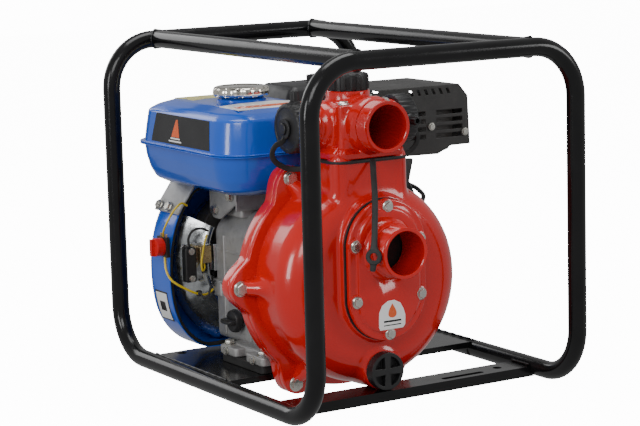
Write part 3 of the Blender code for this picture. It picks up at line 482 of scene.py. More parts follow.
ROOM_LIGHT = 0.42
BACKDROP_LIGHT = 14.0
FLOOR_GLOW = 13.0
FLOOR_REACH = 6000
FLOOR_LEVEL = -0.4
CAMERA_LENS = 119.53
CAMERA_TURN = -0.54601755886644
CAMERA_TILT = 0.1553533217723622
CAMERA_ROLL = -0.026589455214076893
CAMERA_PLACE = (-1.3528, -2.1868, 0.6031)


def stage():
    """Pale floor, soft studio light and the camera."""
    camera = bpy.data.cameras.new("camera")
    camera.lens = CAMERA_LENS
    camera.sensor_width = 36.0
    camera.clip_start = 0.05
    seen = linked("camera", camera)
    turn, tilt, roll = CAMERA_TURN, CAMERA_TILT, CAMERA_ROLL
    back = Vector((math.sin(turn) * math.cos(tilt), -math.cos(turn) * math.cos(tilt), math.sin(tilt)))
    right = Vector((math.cos(turn), math.sin(turn), 0))
    up = back.cross(right)
    level, rise = math.cos(roll), math.sin(roll)
    axes = (level * right + rise * up, level * up - rise * right, back)
    seen.matrix_world = Matrix.Translation(CAMERA_PLACE) @ Matrix(axes).transposed().to_4x4()
    bpy.context.scene.camera = seen

    floor_points = [(FLOOR_REACH * x, FLOOR_REACH * y, FLOOR_LEVEL)
                    for x, y in ((-1, -1), (1, -1), (1, 1), (-1, 1))]
    floor = object_from("studio_floor", floor_points, [(0, 1, 2, 3)])
    pale = bpy.data.materials.new("studio_floor")
    pale.use_nodes = True
    set_inputs(pale.node_tree.nodes["Principled BSDF"], Base_Color=(0.93, 0.93, 0.93, 1), Roughness=0.6,
               Emission_Color=(1.0, 1.0, 1.0, 1.0), Emission_Strength=FLOOR_GLOW)
    floor.data.materials.append(pale)
    floor.visible_diffuse = False
    floor.visible_glossy = False

    lamps = (
        ("key_softbox", (-1.9, -1.9, 1.7), 1.3, 27, (-0.05, -0.05, 0.2)),
        ("tall_strip", (-2.3, -0.4, 0.7), 0.5, 14, (0.0, 0.0, 0.2)),
        ("fill_softbox", (1.9, -1.7, 1.0), 1.0, 15, (0.0, -0.1, 0.2)),
        ("top_softbox", (0.0, 0.1, 2.3), 1.5, 27, (0.0, 0.0, 0.2)),
        ("back_softbox", (-0.6, 2.3, 1.2), 1.4, 13, (0.0, 0.0, 0.2)),
    )
    for name, place, width, power, target in lamps:
        light = bpy.data.lights.new(name, "AREA")
        light.shape = "RECTANGLE"
        light.size = width
        light.size_y = width * (1.8 if name == "tall_strip" else 0.8)
        light.energy = power
        lamp = linked(name, light)
        lamp.location = place
        lamp.rotation_euler = (Vector(target) - Vector(place)).to_track_quat("-Z", "Y").to_euler()
    bpy.context.scene.world = white_surroundings()


def white_surroundings():
    """A backdrop that is bright where it is seen and dim where it lights or is mirrored."""
    world = bpy.data.worlds.new("studio")
    world.use_nodes = True
    nodes, links = world.node_tree.nodes, world.node_tree.links
    seen = nodes.new("ShaderNodeLightPath").outputs["Is Camera Ray"]
    strength = nodes.new("ShaderNodeMapRange")
    set_inputs(strength, To_Min=ROOM_LIGHT, To_Max=BACKDROP_LIGHT)
    links.new(seen, strength.inputs["Value"])
    nodes["Background"].inputs["Color"].default_value = (1.0, 1.0, 1.0, 1.0)
    links.new(strength.outputs["Result"], nodes["Background"].inputs["Strength"])
    return world


# ---------------------------------------------------------------- frame and base

def bead(points, radius=1.9, seed=0):
    """A weld bead: a tube on a line, its radius rippled along the way like laid drops."""
    path = curve_through(points, 60)
    ripple = 1 + 0.16 * np.sin(np.arange(60) * 1.15 + seed)
    tube = swept(path, circle(radius, 10), (0.3, 0.5, 0.8))
    return path[:, None] + (tube - path[:, None]) * ripple[:, None, None]


def tube_frame():
    """One bent tube through eight corners, the top rails, the weld beads and the base's parts."""
    low = TUBE_R
    corners = [(HALF_W, -HALF_L, TUBE_TOP), (HALF_W, -HALF_L, low), (HALF_W, HALF_L, low),
               (HALF_W, HALF_L, TUBE_TOP), (-HALF_W, HALF_L, TUBE_TOP), (-HALF_W, HALF_L, low),
               (-HALF_W, -HALF_L, low), (-HALF_W, -HALF_L, TUBE_TOP)]
    line = rounded_loop(corners, BEND_R)
    tangent = unit(np.roll(line, -1, 0) - np.roll(line, 1, 0))
    side = unit(np.cross(tangent, (1.0, 1.0, 1.0)))
    rise = np.cross(side, tangent)
    ring = circle(TUBE_R, 36)
    grid = line[:, None] + ring[None, :, :1] * side[:, None] + ring[None, :, 1:] * rise[:, None]
    skins("bent_tube_frame", [grid], "black_paint",
          nodes=("front_hoop", "back_hoop", "left_base_tube", "right_base_tube"), round_rows=True)
    rails = []
    beads = []
    for x in (-RAIL_X, RAIL_X):
        line = np.array([(x, y, TUBE_TOP) for y in np.linspace(-HALF_L + 3, HALF_L - 3, 5)])
        rails.append(swept(line, circle(TUBE_R - 0.05, 36), UP))
        turn = np.linspace(0, TAU, 41)
        for end in (-1, 1):
            y = end * (HALF_L - np.sqrt(TUBE_R ** 2 - (TUBE_R * np.sin(turn)) ** 2) - 0.6)
            seam = np.stack([x + 11.4 * np.cos(turn), y, TUBE_TOP + 11.4 * np.sin(turn)], -1)
            beads.append(bead(seam, 1.6, x))
    skins("top_rails", rails, "black_paint", nodes=("left_top_rail", "right_top_rail"))
    for side_x in (-1, 1):
        for y in (-160, -128, -31, 147):
            x = side_x * 172
            beads.append(bead([(x + side_x * 2, y, 15), (x - side_x * 1, y, 10), (x, y, 4)], 1.8, y))
        for z, low_y, high_y in ((14.5, -161, -127), (22.3, -32, 148)):
            reach = HALF_W - math.sqrt(11.5 ** 2 - (z - TUBE_R) ** 2)
            beads.append(bead([(side_x * reach, y, z) for y in np.linspace(low_y, high_y, 6)], 1.5, z))
    skins("weld_beads", beads, "black_paint", sharp=80)
    soften("front_cross_channel", "black_paint", 0.9)
    soften("rear_base_plate", "black_paint", 0.9)
    for name in ("left_rubber_mount", "right_rubber_mount"):
        soften(name, "black_rubber", 1.2)


# ---------------------------------------------------------------- pump

FLANGE_FRONT = -68.0
FLANGE_BACK = -60.0
BOLT_CIRCLE = 142.0


def ear_radius(turn, flat=133.0, tip=154.0):
    """The flange's outline: a circle that swells to a round-tipped ear at each sixth of a turn."""
    off = np.abs((np.degrees(turn) + 30) % 60 - 30)
    swell = np.cos(np.radians(np.minimum(off / 15 * 90, 90))) ** 1.5
    return flat + (tip - flat) * swell


def eared_ring(inner, low, high, radius=1.4):
    """Grid of a flange ring with ears: rounded outer rims and a plain bore."""
    turn = np.arange(360) * TAU / 360
    direction = np.stack([np.cos(turn), np.sin(turn)], -1)
    outline = np.array([SHAFT_X, SHAFT_Z]) + ear_radius(turn)[:, None] * direction
    rows = list(plate(outline, "Y", soft_steps(low, high, radius)))
    bore = np.array([SHAFT_X, SHAFT_Z]) + inner * direction
    rows += [placed(bore, "Y", high), placed(bore, "Y", low)]
    return np.stack(rows)


def melt(a, b, width):
    """Smooth union of two distances: the nearer one, rounded off where they are alike."""
    h = np.clip(0.5 + 0.5 * (b - a) / width, 0, 1)
    return b * (1 - h) + a * h - width * h * (1 - h)


def carve(a, b, width):
    """Smooth difference of two distances."""
    return -melt(-a, b, width)


def slab_distance(flat, level, low, high, edge):
    """Distance to a slab of a flat shape between two levels, its rims rounded."""
    over = np.stack([flat + edge, np.abs(level - (low + high) / 2) - (high - low) / 2 + edge])
    return np.linalg.norm(np.maximum(over, 0), axis=0) + np.minimum(over.max(0), 0) - edge


def box_flat(a, b, half_a, half_b, corner):
    """Distance to a rounded rectangle about the origin."""
    over = np.stack([np.abs(a) - half_a + corner, np.abs(b) - half_b + corner])
    return np.linalg.norm(np.maximum(over, 0), axis=0) + np.minimum(over.max(0), 0) - corner


def oblong_flat(x, z, radius, low_z, high_z):
    """Distance to an upright oblong: the nearest point of its middle line, less the radius."""
    return np.hypot(x, z - np.clip(z, low_z, high_z)) - radius


def capsule(p, start, end, radius):
    """Distance to a round-ended bar."""
    start, end = np.asarray(start, float), np.asarray(end, float)
    step = end - start
    share = np.clip(((p - start) @ step) / (step @ step), 0, 1)
    return np.linalg.norm(p - start - share[..., None] * step, axis=-1) - radius


def cast_skin(field, centre, rows, columns, span, pole=(0.0, -1.0, 0.0), reach=240.0):
    """The outer skin of a cast shape seen from a point inside it.

    Each grid direction is searched outwards for the last place where the distance field is
    negative, then halved down to the surface.
    """
    along, first, second = across(pole)
    polar = np.linspace(0.0, span, rows)[:, None]
    turn = (np.arange(columns) * TAU / columns)[None, :]
    direction = (np.cos(polar)[..., None] * along + (np.sin(polar) * np.cos(turn))[..., None] * first
                 + (np.sin(polar) * np.sin(turn))[..., None] * second)
    centre = np.asarray(centre, float)
    inside = np.full(direction.shape[:2], 1.0)
    for distance in np.arange(2.0, reach, 2.0):
        hit = field(centre + distance * direction) < 0
        inside = np.where(hit, distance, inside)
    outside = inside + 2.0
    for _ in range(14):
        middle = (inside + outside) / 2
        hit = field(centre + middle[..., None] * direction) < 0
        inside = np.where(hit, middle, inside)
        outside = np.where(hit, outside, middle)
    return centre + inside[..., None] * direction


BOSS_LOW_Z = 125.6
BOSS_HIGH_Z = 187.0
MOUTH_R = 42.0
MOUTH_FLOOR = -108.0
PORT_R = 29.8
PORT_BORE = 25.4
OUTLET_R = 23.9
OUTLET_BORE = 19.5


def casing_field(p):
    """Distance to the casing: a domed drum, a square neck, two bosses and a gusset to each ear."""
    x, y, z = p[..., 0] - SHAFT_X, p[..., 1], p[..., 2]
    radial = np.hypot(x, z - SHAFT_Z)
    drum = slab_distance(radial - 121.0, y, -146.0, 40.0, 37.0)
    neck = slab_distance(box_flat(x, y + 104.0, 50.0, 34.0, 15.0), z, 150.0, 283.7, 0.6)
    body = melt(drum, neck, 7.0)
    for side in (-1, 1):
        x_column = SHAFT_X + side * 39
        body = melt(body, capsule(p, (x_column, -126, 215), (x_column, -126, 283), 11.5), 4.0)
    boss = slab_distance(oblong_flat(x, z, 54.4, BOSS_LOW_Z, BOSS_HIGH_Z), y, -153.9, -120.0, 1.2)
    body = melt(body, boss, 5.0)
    drain = slab_distance(np.hypot(x, z - 35.5) - 23.4, y, -147.0, -90.0, 1.5)
    body = melt(body, drain, 8.0)
    for index in range(6):
        turn = index * TAU / 6
        out = np.array([math.cos(turn), 0, math.sin(turn)])
        base = np.array([SHAFT_X, 0, SHAFT_Z])
        near = base + 108 * out + np.array([0, -98.0, 0])
        far = base + 134 * out + np.array([0, -64.0, 0])
        body = melt(body, capsule(p, near, far, 9.0), 9.0)
    mouth = slab_distance(oblong_flat(x, z, MOUTH_R, 137.0, 182.0), y, -170.0, MOUTH_FLOOR, 1.0)
    return carve(body, mouth, 1.5)


def pump_body():
    """Casing, its eared flange, the adapter behind it, their bolts and the parts inside."""
    skin = cast_skin(casing_field, (SHAFT_X, -64.0, SHAFT_Z), 190, 400, math.radians(92), reach=200.0)
    skins("pump_casing_skin", [skin], "red_paint", nodes=("pump_casing",), sharp=50)
    skins("casing_flange", [eared_ring(112, FLANGE_FRONT, FLANGE_BACK)], "red_paint", round_rows=True)
    adapter = [(60, -38.4), (60, -46), (72, -51), (118, -51), (123, -49), (124, -41), (126, -39.8),
               (130, -39.8), (131, -41), (131, -59.6), (24, -59.6)]
    bowl = turned(adapter, (SHAFT_X, 0, SHAFT_Z), BACK, 128)
    skins("adapter_bowl", [bowl], "red_paint", nodes=("pump_back_cover",))
    skins("adapter_flange", [eared_ring(118, -59.6, -44.2)], "red_paint", round_rows=True)
    turns = [index * TAU / 6 for index in range(6)]
    places = [(SHAFT_X + BOLT_CIRCLE * math.cos(t), FLANGE_FRONT + 0.1, SHAFT_Z + BOLT_CIRCLE * math.sin(t))
              for t in turns]
    nodes = tuple(f"flange_bolt_{index + 1}" for index in range(6))
    bolts("casing_bolts", places, FRONT, nodes=nodes, across_flats=12.5, head=6.3, washer=18.5)
    ends = []
    for x, _, z in places:
        nut = flanged_bolt((x, -44.0, z), BACK, 12.5, 6.0, 17.0)
        stud = turned([(4, -44), (4, -35.6), (3.2, -34.8), (TIP, -34.8)], (x, 0, z), BACK, 20)
        ends += [nut, stud]
    skins("casing_nuts", ends, "zinc_steel", sharp=28)
    for name in ("volute", "impeller", "crankshaft", "flywheel"):
        soften(name, "cast_iron", 0.4)
    soften("shaft_seal", "black_rubber", 0.4)


COVER_BOLTS = ((0, 74.5), (0, -74.5), (43.9, 32.5), (-43.9, 32.5), (43.9, -32.5), (-43.9, -32.5))
COVER_Z = 156.3
COVER_BACK = -156.7
COVER_BOLT_SEAT = -165.9
SUCTION_Z = 181.0


def lobed_cover(grow):
    """The suction cover's outline: an oblong that swells a little round its four side bolts."""
    flat = oblong(53.0 + grow, BOSS_LOW_Z, BOSS_HIGH_Z, 60)
    middle = np.array([SHAFT_X, COVER_Z])
    for x, z in COVER_BOLTS[2:]:
        place = middle + np.array([x, z])
        gap = np.linalg.norm(flat - place, axis=1)
        push = 1.9 * np.exp(-(gap / 9.5) ** 2)
        flat = flat + push[:, None] * unit(flat - place)
    return flat


def suction_side():
    """Suction cover with a raised panel and a threaded port, its gasket, bolts and flap."""
    rim = plate(lobed_cover(-0.9), "Y", soft_steps(COVER_BACK, -164.6, 2.6, 5))
    panel = [(8, -163.0), (9.5, -164.8), (11, -167.2), (13, -168.0), (40, -168.2)]
    raised = plate(oblong(53.0, BOSS_LOW_Z, BOSS_HIGH_Z, 40), "Y", panel)
    origin = (SHAFT_X, 0, SUCTION_Z)
    collar = turned([(37.5, -164), (36.5, -167.5), (33.6, -170), (31.8, -173), (31.3, -177.5), (30.2, -178.6),
                     (25.5, -178.6), (25.5, -157)], origin, BACK, 96)
    port = thread(PORT_R, -174.0, -203.0, origin, BACK, PORT_BORE)
    cover = skins("suction_cover_casting", [rim, raised], "red_paint", nodes=("suction_cover",), sharp=42)
    bored(cover, origin, BACK, 25.6, -190, -140)
    skins("suction_port", [collar, port], "red_paint", round_rows=True, sharp=38)
    gasket = skins("suction_gasket_edge", [plate(lobed_cover(-0.2), "Y", [(0, COVER_BACK), (0, -153.8)])],
                   "black_rubber", nodes=("suction_gasket",))
    bored(gasket, origin, BACK, 29.0, -170, -140)
    bosses = []
    places = []
    for x, z in COVER_BOLTS:
        centre = (SHAFT_X + x, 0, COVER_Z + z)
        boss = [(9.2, -160), (9.0, -165.3), (8.2, COVER_BOLT_SEAT), (TIP, COVER_BOLT_SEAT)]
        bosses.append(turned(boss, centre, BACK, 40))
        places.append((SHAFT_X + x, COVER_BOLT_SEAT, COVER_Z + z))
    skins("suction_cover_bosses", bosses, "red_paint", sharp=42)
    bolts("suction_cover_bolts", places, FRONT, across_flats=9.6, head=4.4, washer=14.6)
    soften("check_valve_flap", "black_rubber", 0.4)


def suction_badge():
    """A plain die-cut sticker: white vinyl with a generic drop and two bars."""
    outline = np.array([(-17, -16.5), (14.5, -16.5), (17.5, -13), (18, -2), (15.5, 6), (11, 13.5),
                        (3, 17.5), (-6, 17), (-14, 12), (-18, 4), (-18.5, -4), (-18.5, -13)])
    middle = np.array([SHAFT_X + 2.0, 104.0])
    face = -168.5
    base = plate(outline + middle, "Y", [(0, -168.1), (0, face), (0.4, -168.6)])
    skins("suction_badge", [base], "white_print")
    turn = np.linspace(0, TAU, 41)[:-1]
    drop = np.stack([8.2 * np.sin(turn) * np.sin(turn / 2) ** 1.5, -8.5 * np.cos(turn)], -1)[::-1]
    drop = plate(-drop + middle + np.array([0, 5.5]), "Y", [(0, face), (0, -168.72)])
    skins("badge_drop", [drop], "orange_print")
    bars = [tile((middle[0] - 12, middle[1] + z - h), (middle[0] + 12, middle[1] + z + h), 0.4, 2,
                 "Y", face, -168.7, 0.05) for z, h in ((-7.0, 1.1), (-11.6, 0.6))]
    skins("badge_bars", bars, "black_print")


OUTLETS = (SHAFT_X, -83.0, 320.5)
FRONT_PORT = (SHAFT_X, 0, 323.0)
FILLER_PORT = (SHAFT_X, -86.0, 0)
HEAD_BOLT_SEAT = 346.6
HEAD_BOLTS = ((-27.5, -121), (27.5, -121), (-34, -76), (34, -76))


def flutes(depth, count, sharpness, first, last):
    """A wave for turned: flat-topped flutes, cut by a share of the radius on some profile rows."""
    def wave(turn, row):
        cut = depth * np.clip(np.cos(turn * count) * sharpness, -1, 1)
        return 1 - cut * ((row >= first) & (row <= last))
    return wave


def head_field(p):
    """Distance to the discharge head: a barrel, bolt columns, a base plate and short stubs."""
    x, y, z = p[..., 0] - SHAFT_X, p[..., 1], p[..., 2]
    barrel = slab_distance(np.hypot(x, y + 96.0) - 39.0, z, 284.0, 341.0, 9.0)
    base = slab_distance(box_flat(x, y + 100.0, 49.6, 37.6, 15.5), z, 284.3, 292.6, 1.5)
    body = melt(barrel, base, 5.0)
    for cx, cy in HEAD_BOLTS:
        column = slab_distance(np.hypot(x - cx, y - cy) - 10.3, z, 284.5, HEAD_BOLT_SEAT, 2.0)
        body = melt(body, column, 5.0)
    front = slab_distance(np.hypot(x, z - FRONT_PORT[2]) - 32.4, y, -142.0, -96.0, 3.0)
    sides = slab_distance(np.hypot(y - OUTLETS[1], z - OUTLETS[2]) - 28.4, x, -43.0, 43.0, 3.0)
    top = slab_distance(np.hypot(x, y - FILLER_PORT[1]) - 25.6, z, 300.0, 352.0, 2.0)
    for stub in (front, sides, top):
        body = melt(body, stub, 5.0)
    return carve(body, slab_distance(np.hypot(x, z - FRONT_PORT[2]) - 25.6, y, -180.0, -104.0, 0.5), 1.0)


def discharge_side():
    """Three-way head with its ports, bolts and filler cap."""
    skin = cast_skin(head_field, (SHAFT_X, -92.0, 316.0), 230, 300, math.pi, pole=FRONT, reach=90.0)
    head = skins("discharge_head_skin", [skin], "red_paint", nodes=("discharge_head",), sharp=48)
    bored(head, FRONT_PORT, BACK, 25.6, -180, -70, overlapping=False)
    collar = turned([(33, -130), (33, -142), (32.3, -143.6), (30.6, -146.6), (30.2, -149), (25.5, -149),
                     (25.5, -128)], FRONT_PORT, BACK, 96)
    port = thread(PORT_R, -146.0, -171.0, FRONT_PORT, BACK, PORT_BORE)
    parts = [collar, port]
    stub = [(29, 30), (29, 42.5), (28.2, 43.8), (24.6, 47), (24.2, 49), (OUTLET_BORE, 49), (OUTLET_BORE, 30)]
    for side in (-1, 1):
        direction = (side, 0, 0)
        parts.append(turned(stub, OUTLETS, direction, 80))
        parts.append(thread(OUTLET_R, 46.0, 72.0, OUTLETS, direction, OUTLET_BORE))
    neck = [(26, 336), (26, 358.6), (25, 360), (17.5, 360), (17, 359), (17, 336)]
    band = [(27.2, 344), (27.6, 346), (27.6, 348.5), (26.6, 350), (20, 350), (20, 344)]
    parts += [turned(profile, FILLER_PORT, UP, 80) for profile in (neck, band)]
    # A near-black disc that closes the front port's bore: painted shade where the bore goes dark, not a part
    # of the head.
    throat_shade_disc = turned([(TIP, -72), (25.5, -72), (25.5, -70.2), (TIP, -70.2)], FRONT_PORT, BACK)
    skins("discharge_throat_shade", [throat_shade_disc], "painted_shade_cavity")
    skins("head_ports", parts, "red_paint", round_rows=True, sharp=38)
    places = [(SHAFT_X + x, y, HEAD_BOLT_SEAT) for x, y in HEAD_BOLTS]
    bolts("head_bolts", places, UP, across_flats=9.6, head=4.6, washer=15.0)
    filler = turned([(16, 352.5), (23.6, 360.4), (24.2, 361.2), (24.4, 362.6), (24.4, 376), (23.6, 378.6),
                     (21.5, 380), (15.5, 380.4), (15, 379.6), (14.6, 376.4), (TIP, 376.2)],
                    FILLER_PORT, UP, 144, flutes(0.045, 12, 3, 2, 5))
    wing = [block((SHAFT_X - 15, -88.4, 375), (SHAFT_X + 15, -83.6, 380.6), 1.2),
            block((SHAFT_X - 2.4, -101, 375), (SHAFT_X + 2.4, -71, 380.6), 1.2)]
    skins("filler_cap_knob", [filler, *wing], "black_plastic", "filler_cap", ("filler_cap",), 40)


def outlet_cap(side):
    """A screw cap with a fluted skirt, a hub for its tether and a hollow pull lug."""
    name = "left_outlet_cap" if side < 0 else "right_outlet_cap"
    direction = np.array([side, 0, 0])
    shell = turned([(24.6, 79), (24.6, 61.2), (28.4, 61.1), (29.2, 62), (29.2, 80.6), (28.6, 82.2),
                    (27.2, 83.2), (24.5, 83.5), (23.8, 82.8), (13, 82.6), (11.6, 83.4), (TIP, 83.4)],
                   OUTLETS, direction, 168, flutes(0.012, 28, 2, 2, 5))
    hub = turned([(7.0, 83.0), (7.0, 84.0), (5.6, 84.4), (5.6, 87.2), (6.9, 87.6), (6.9, 88.6), (6.0, 89.4),
                  (TIP, 89.4)], OUTLETS, direction, 48)
    lug_way = UP if side < 0 else FRONT
    lug_origin = np.array(OUTLETS) + 71.0 * direction
    lug = turned([(5.0, 26), (4.9, 42.4), (4.4, 43), (2.9, 43), (2.7, 42.4), (2.7, 34), (TIP, 34)],
                 lug_origin, lug_way, 96, flutes(0.06, 8, 2, 0, 1))
    foot = turned([(8.2, 24), (8.0, 28.6), (6.4, 30.6), (5.2, 31.4), (4.4, 31.6)], lug_origin, lug_way, 48)
    skins(name + "_cap", [shell, hub, lug, foot], "black_plastic", name, (name,), 38)


def tethers():
    """Moulded straps: one with a ring for each outlet cap's hub, and the front port's, which hangs."""
    ring_profile = [(7.3, 84.6), (11.4, 84.6), (11.9, 85.1), (11.9, 86.5), (11.4, 87.0), (7.3, 87.0)]
    knots = [(85.9, -83, 309.5), (88.5, -83, 306), (97, -82, 302), (101.2, -80.5, 294), (98.4, -79, 285),
             (89, -78, 277.5), (76, -79, 272.6), (62, -85, 272.4), (52.6, -92, 276), (50.6, -100, 280)]
    for side, name in ((-1, "left_cap_tether"), (1, "right_cap_tether")):
        route = [(SHAFT_X + side * x, y, z) for x, y, z in knots]
        strap(name + "_strap", route, 3.3, 2.4, "black_rubber", (0.0, 1.0, 0.0), (name,))
        ring = turned(ring_profile, OUTLETS, (side, 0, 0), 64)
        skins(name + "_ring", [ring], "black_rubber", round_rows=True)
    outline = rounded_rectangle((SHAFT_X - 50.4, -138.4), (SHAFT_X + 50.4, -69.6), 15.4, 12)
    loop = plate(outline, "Z", [(0.2, 280.0), (-1.4, 280.3), (-1.8, 281.0), (-1.8, 282.8), (-1.4, 283.5),
                                (0.2, 283.8)])
    route = curve_through([(-37, -140.4, 282.5), (-38.5, -144, 279), (-43, -152, 266), (-51, -166, 245),
                           (-60, -179, 220), (-67, -188, 199), (-70.3, -191.8, 188)], 70)
    wide = 3.5 + 0.9 * np.exp(-np.linspace(0, 14, 70)) + 1.4 * np.exp(-np.linspace(16, 0, 70))
    section = rounded_rectangle((-1, -1.2), (1, 1.2), 0.95, 3)
    tangent = unit(np.gradient(route, axis=0))
    lean = np.array([1.0, -0.75, 0.0])
    broad = unit(lean - (tangent @ lean)[:, None] * tangent)
    thick = np.cross(broad, tangent)
    band = (route[:, None] + broad[:, None] * section[None, :, :1] * wide[:, None, None]
            + thick[:, None] * section[None, :, 1:])
    facing = unit((-0.7, -0.7, 0.1))
    middle = np.array([-71, -192.4, 180.0])
    eye = turned([(4.3, -1.4), (5.0, -1.9), (8.4, -1.9), (9.3, -1.2), (9.3, 1.2), (8.4, 1.9), (5.0, 1.9),
                  (4.3, 1.4)], middle, facing, 56)
    hang = np.array([-0.12, 0.0, -1.0])
    tab_way = unit(hang - (hang @ facing) * facing)
    tab_side = np.cross(facing, tab_way)
    tab_line = middle + np.linspace(8.2, 16.8, 8)[:, None] * tab_way
    tab_wide = np.array([4.6, 4.0, 3.6, 3.5, 3.5, 3.5, 3.3, 2.6])
    tab = (tab_line[:, None] + tab_side * section[None, :, :1] * tab_wide[:, None, None]
           + facing * section[None, :, 1:])
    skins("front_tether_strap", [band, tab], "black_rubber", nodes=("front_cap_tether",), sharp=40)
    skins("front_tether_eye", [eye], "black_rubber", round_rows=True)
    skins("front_tether_loop", [loop], "black_rubber", sharp=40)


def drain_side():
    """The plug in the casing's drain boss."""
    soften("drain_plug", "black_plastic", 0.5)


# ---------------------------------------------------------------- shapes shared by the engine's pieces

def eased(points, reach, steps=5):
    """Round each inner corner of an open line with a quadratic curve that starts at most reach short."""
    points = np.asarray(points, float)
    t = np.linspace(0, 1, steps + 1).reshape(-1, *([1] * (points.ndim - 1)))
    rows = [points[:1]]
    for before, corner, after in zip(points[:-2], points[1:-1], points[2:]):
        ends = []
        for other in (before, after):
            run = np.linalg.norm(other - corner, axis=-1, keepdims=True)
            ends.append(corner + (other - corner) / np.maximum(run, 1e-9) * np.minimum(reach, 0.45 * run))
        rows.append((1 - t) ** 2 * ends[0] + 2 * t * (1 - t) * corner + t ** 2 * ends[1])
    rows.append(points[-1:])
    return np.concatenate(rows)


def eased_loop(corners, reach, steps=5):
    """The same rounding for a closed outline."""
    corners = np.asarray(corners, float)
    closed = np.concatenate([corners[-1:], corners, corners[:1]])
    return eased(closed, reach, steps)[1:-1]


def sheet_skin(outer, inner):
    """A thin closed grid: each row runs out along the outer face and back along the inner face."""
    return np.concatenate([outer, inner[:, ::-1]], 1)


# ---------------------------------------------------------------- fuel tank

TANK_LOW = (-170.0, -38.0)
TANK_HIGH = (-4.0, 208.0)
TANK_SEAM = 286.0
FILLER = (-84.0, 80.0)
UPPER_STEPS = ((0.5, 2), (2.5, 18), (6, 41), (16, 47), (34, 52.5), (58, 54))
LOWER_STEPS = ((0.5, -2), (2, -16), (6, -32), (12, -44), (24, -50))


def tank_ring(inset, level):
    """The tank's rounded outline, moved in by an inset; its corner radius falls by half of that."""
    low = (TANK_LOW[0] + inset, TANK_LOW[1] + inset)
    high = (TANK_HIGH[0] - inset, TANK_HIGH[1] - inset)
    return placed(rounded_rectangle(low, high, 40 - 0.5 * inset, 12), "Z", level)


def tank_shell(steps, flange):
    """A pressed shell: the eased side profile carried round the outline, from its seam flange on."""
    side = eased([(inset, TANK_SEAM + rise) for inset, rise in steps], 3.2, 6)
    profile = [(-3.9, TANK_SEAM + flange * 0.2), (-4.5, TANK_SEAM + flange * 0.7),
               (-4.5, TANK_SEAM + flange * 1.5), (-3.9, TANK_SEAM + flange * 2.0), *side.tolist()]
    return np.stack([tank_ring(inset, level) for inset, level in profile])


def tank_top(x, y):
    """Height of the tank's top: the side profile read at the distance to the nearest side."""
    inset = np.minimum.reduce([x - TANK_LOW[0], TANK_HIGH[0] - x, y - TANK_LOW[1], TANK_HIGH[1] - y])
    insets, rises = np.array(UPPER_STEPS).T
    return TANK_SEAM + np.interp(inset, insets, rises)


def top_sticker(name, low, high, look, lift=0.25):
    """A printed sticker draped on the tank's top."""
    x, y = np.meshgrid(np.linspace(low[0], high[0], 28), np.linspace(low[1], high[1], 28), indexing="ij")
    level = tank_top(x, y)
    outer = np.stack([x, y, level + lift], -1)
    inner = np.stack([x, y, level - 0.6], -1)
    skins(name, [sheet_skin(outer, inner)], look, sharp=50)


def side_panel(name, y_low, y_high, z_low, z_high, look, lift, slant=7.0):
    """A label on the tank's left side: rows along Y lean with height, columns follow the side's profile."""
    z = np.linspace(z_low, z_high, 20)
    insets, rises = np.array(UPPER_STEPS).T
    x = TANK_LOW[0] + np.interp(z - TANK_SEAM, rises, insets)
    lean = slant * (z - z_low) / (z_high - z_low)
    y = np.linspace(y_low, y_high, 24)[:, None] - lean * np.linspace(-1, 1, 24)[:, None]
    shape = y.shape
    outer = np.stack([np.broadcast_to(x - lift, shape), y, np.broadcast_to(z, shape)], -1)
    inner = outer + np.array([1.0, 0, 0])
    skins(name, [sheet_skin(outer, inner)], look, sharp=50)


def fuel_tank():
    """Two pressed shells, filler neck, labels and the scalloped cap on its collar."""
    skins("tank_upper_pressing", [tank_shell(UPPER_STEPS, 1.0),
                                  turned([(30.5, 338.5), (30.5, 341.5), (27, 343.2), (TIP, 343.4)],
                                         (*FILLER, 0), UP, 64)],
          "blue_paint", nodes=("tank_upper_shell",), sharp=50)
    skins("tank_lower_pressing", [tank_shell(LOWER_STEPS, -1.0)], "blue_paint",
          nodes=("tank_lower_shell",), sharp=50)

    def scallops(turn, row):
        dip = (0.5 + 0.5 * np.cos(12 * turn)) ** 2
        return 1 - 0.045 * dip * ((row > 3) & (row < 13))

    edge = eased([(31, 344.4), (33.8, 345.4), (35.2, 347.5), (35.2, 352.5), (34, 355.6), (30.5, 357)], 1.6, 2)
    crown = [(26, 356.4), (24, 355.9), (21, 356.2), (10, 356.7), (TIP, 356.8)]
    cap = turned([(TIP, 344.3), *edge.tolist(), *crown], (*FILLER, 0), UP, 144, scallops)
    plug = turned([(TIP, 336), (18.4, 336), (19, 336.6), (19, 344.4), (TIP, 344.4)], (*FILLER, 0), UP)
    skins("fuel_cap_chrome", [cap, plug], "chrome", "fuel_cap", ("fuel_cap",), 40)

    side_panel("tank_side_label", 8, 158, 290, 325, "black_print", 0.35)
    side_panel("tank_label_drop", 86, 106, 299, 320, "orange_print", 0.6, slant=8.0)
    for row in range(2):
        z = 293.0 + 3.4 * row
        side_panel(f"tank_label_bar_{row + 1}", 80 + 4 * row, 112 - 4 * row, z, z + 1.7, "white_print",
                   0.6, 0.3)
    top_sticker("tank_top_sticker_rear", (-128, 122), (-52, 172), "yellow_print")
    top_sticker("tank_top_sticker_front", (-138, -8), (-36, 38), "white_print")
    top_sticker("tank_top_sticker_band", (-134, -3), (-40, 10), "orange_print", 0.5)


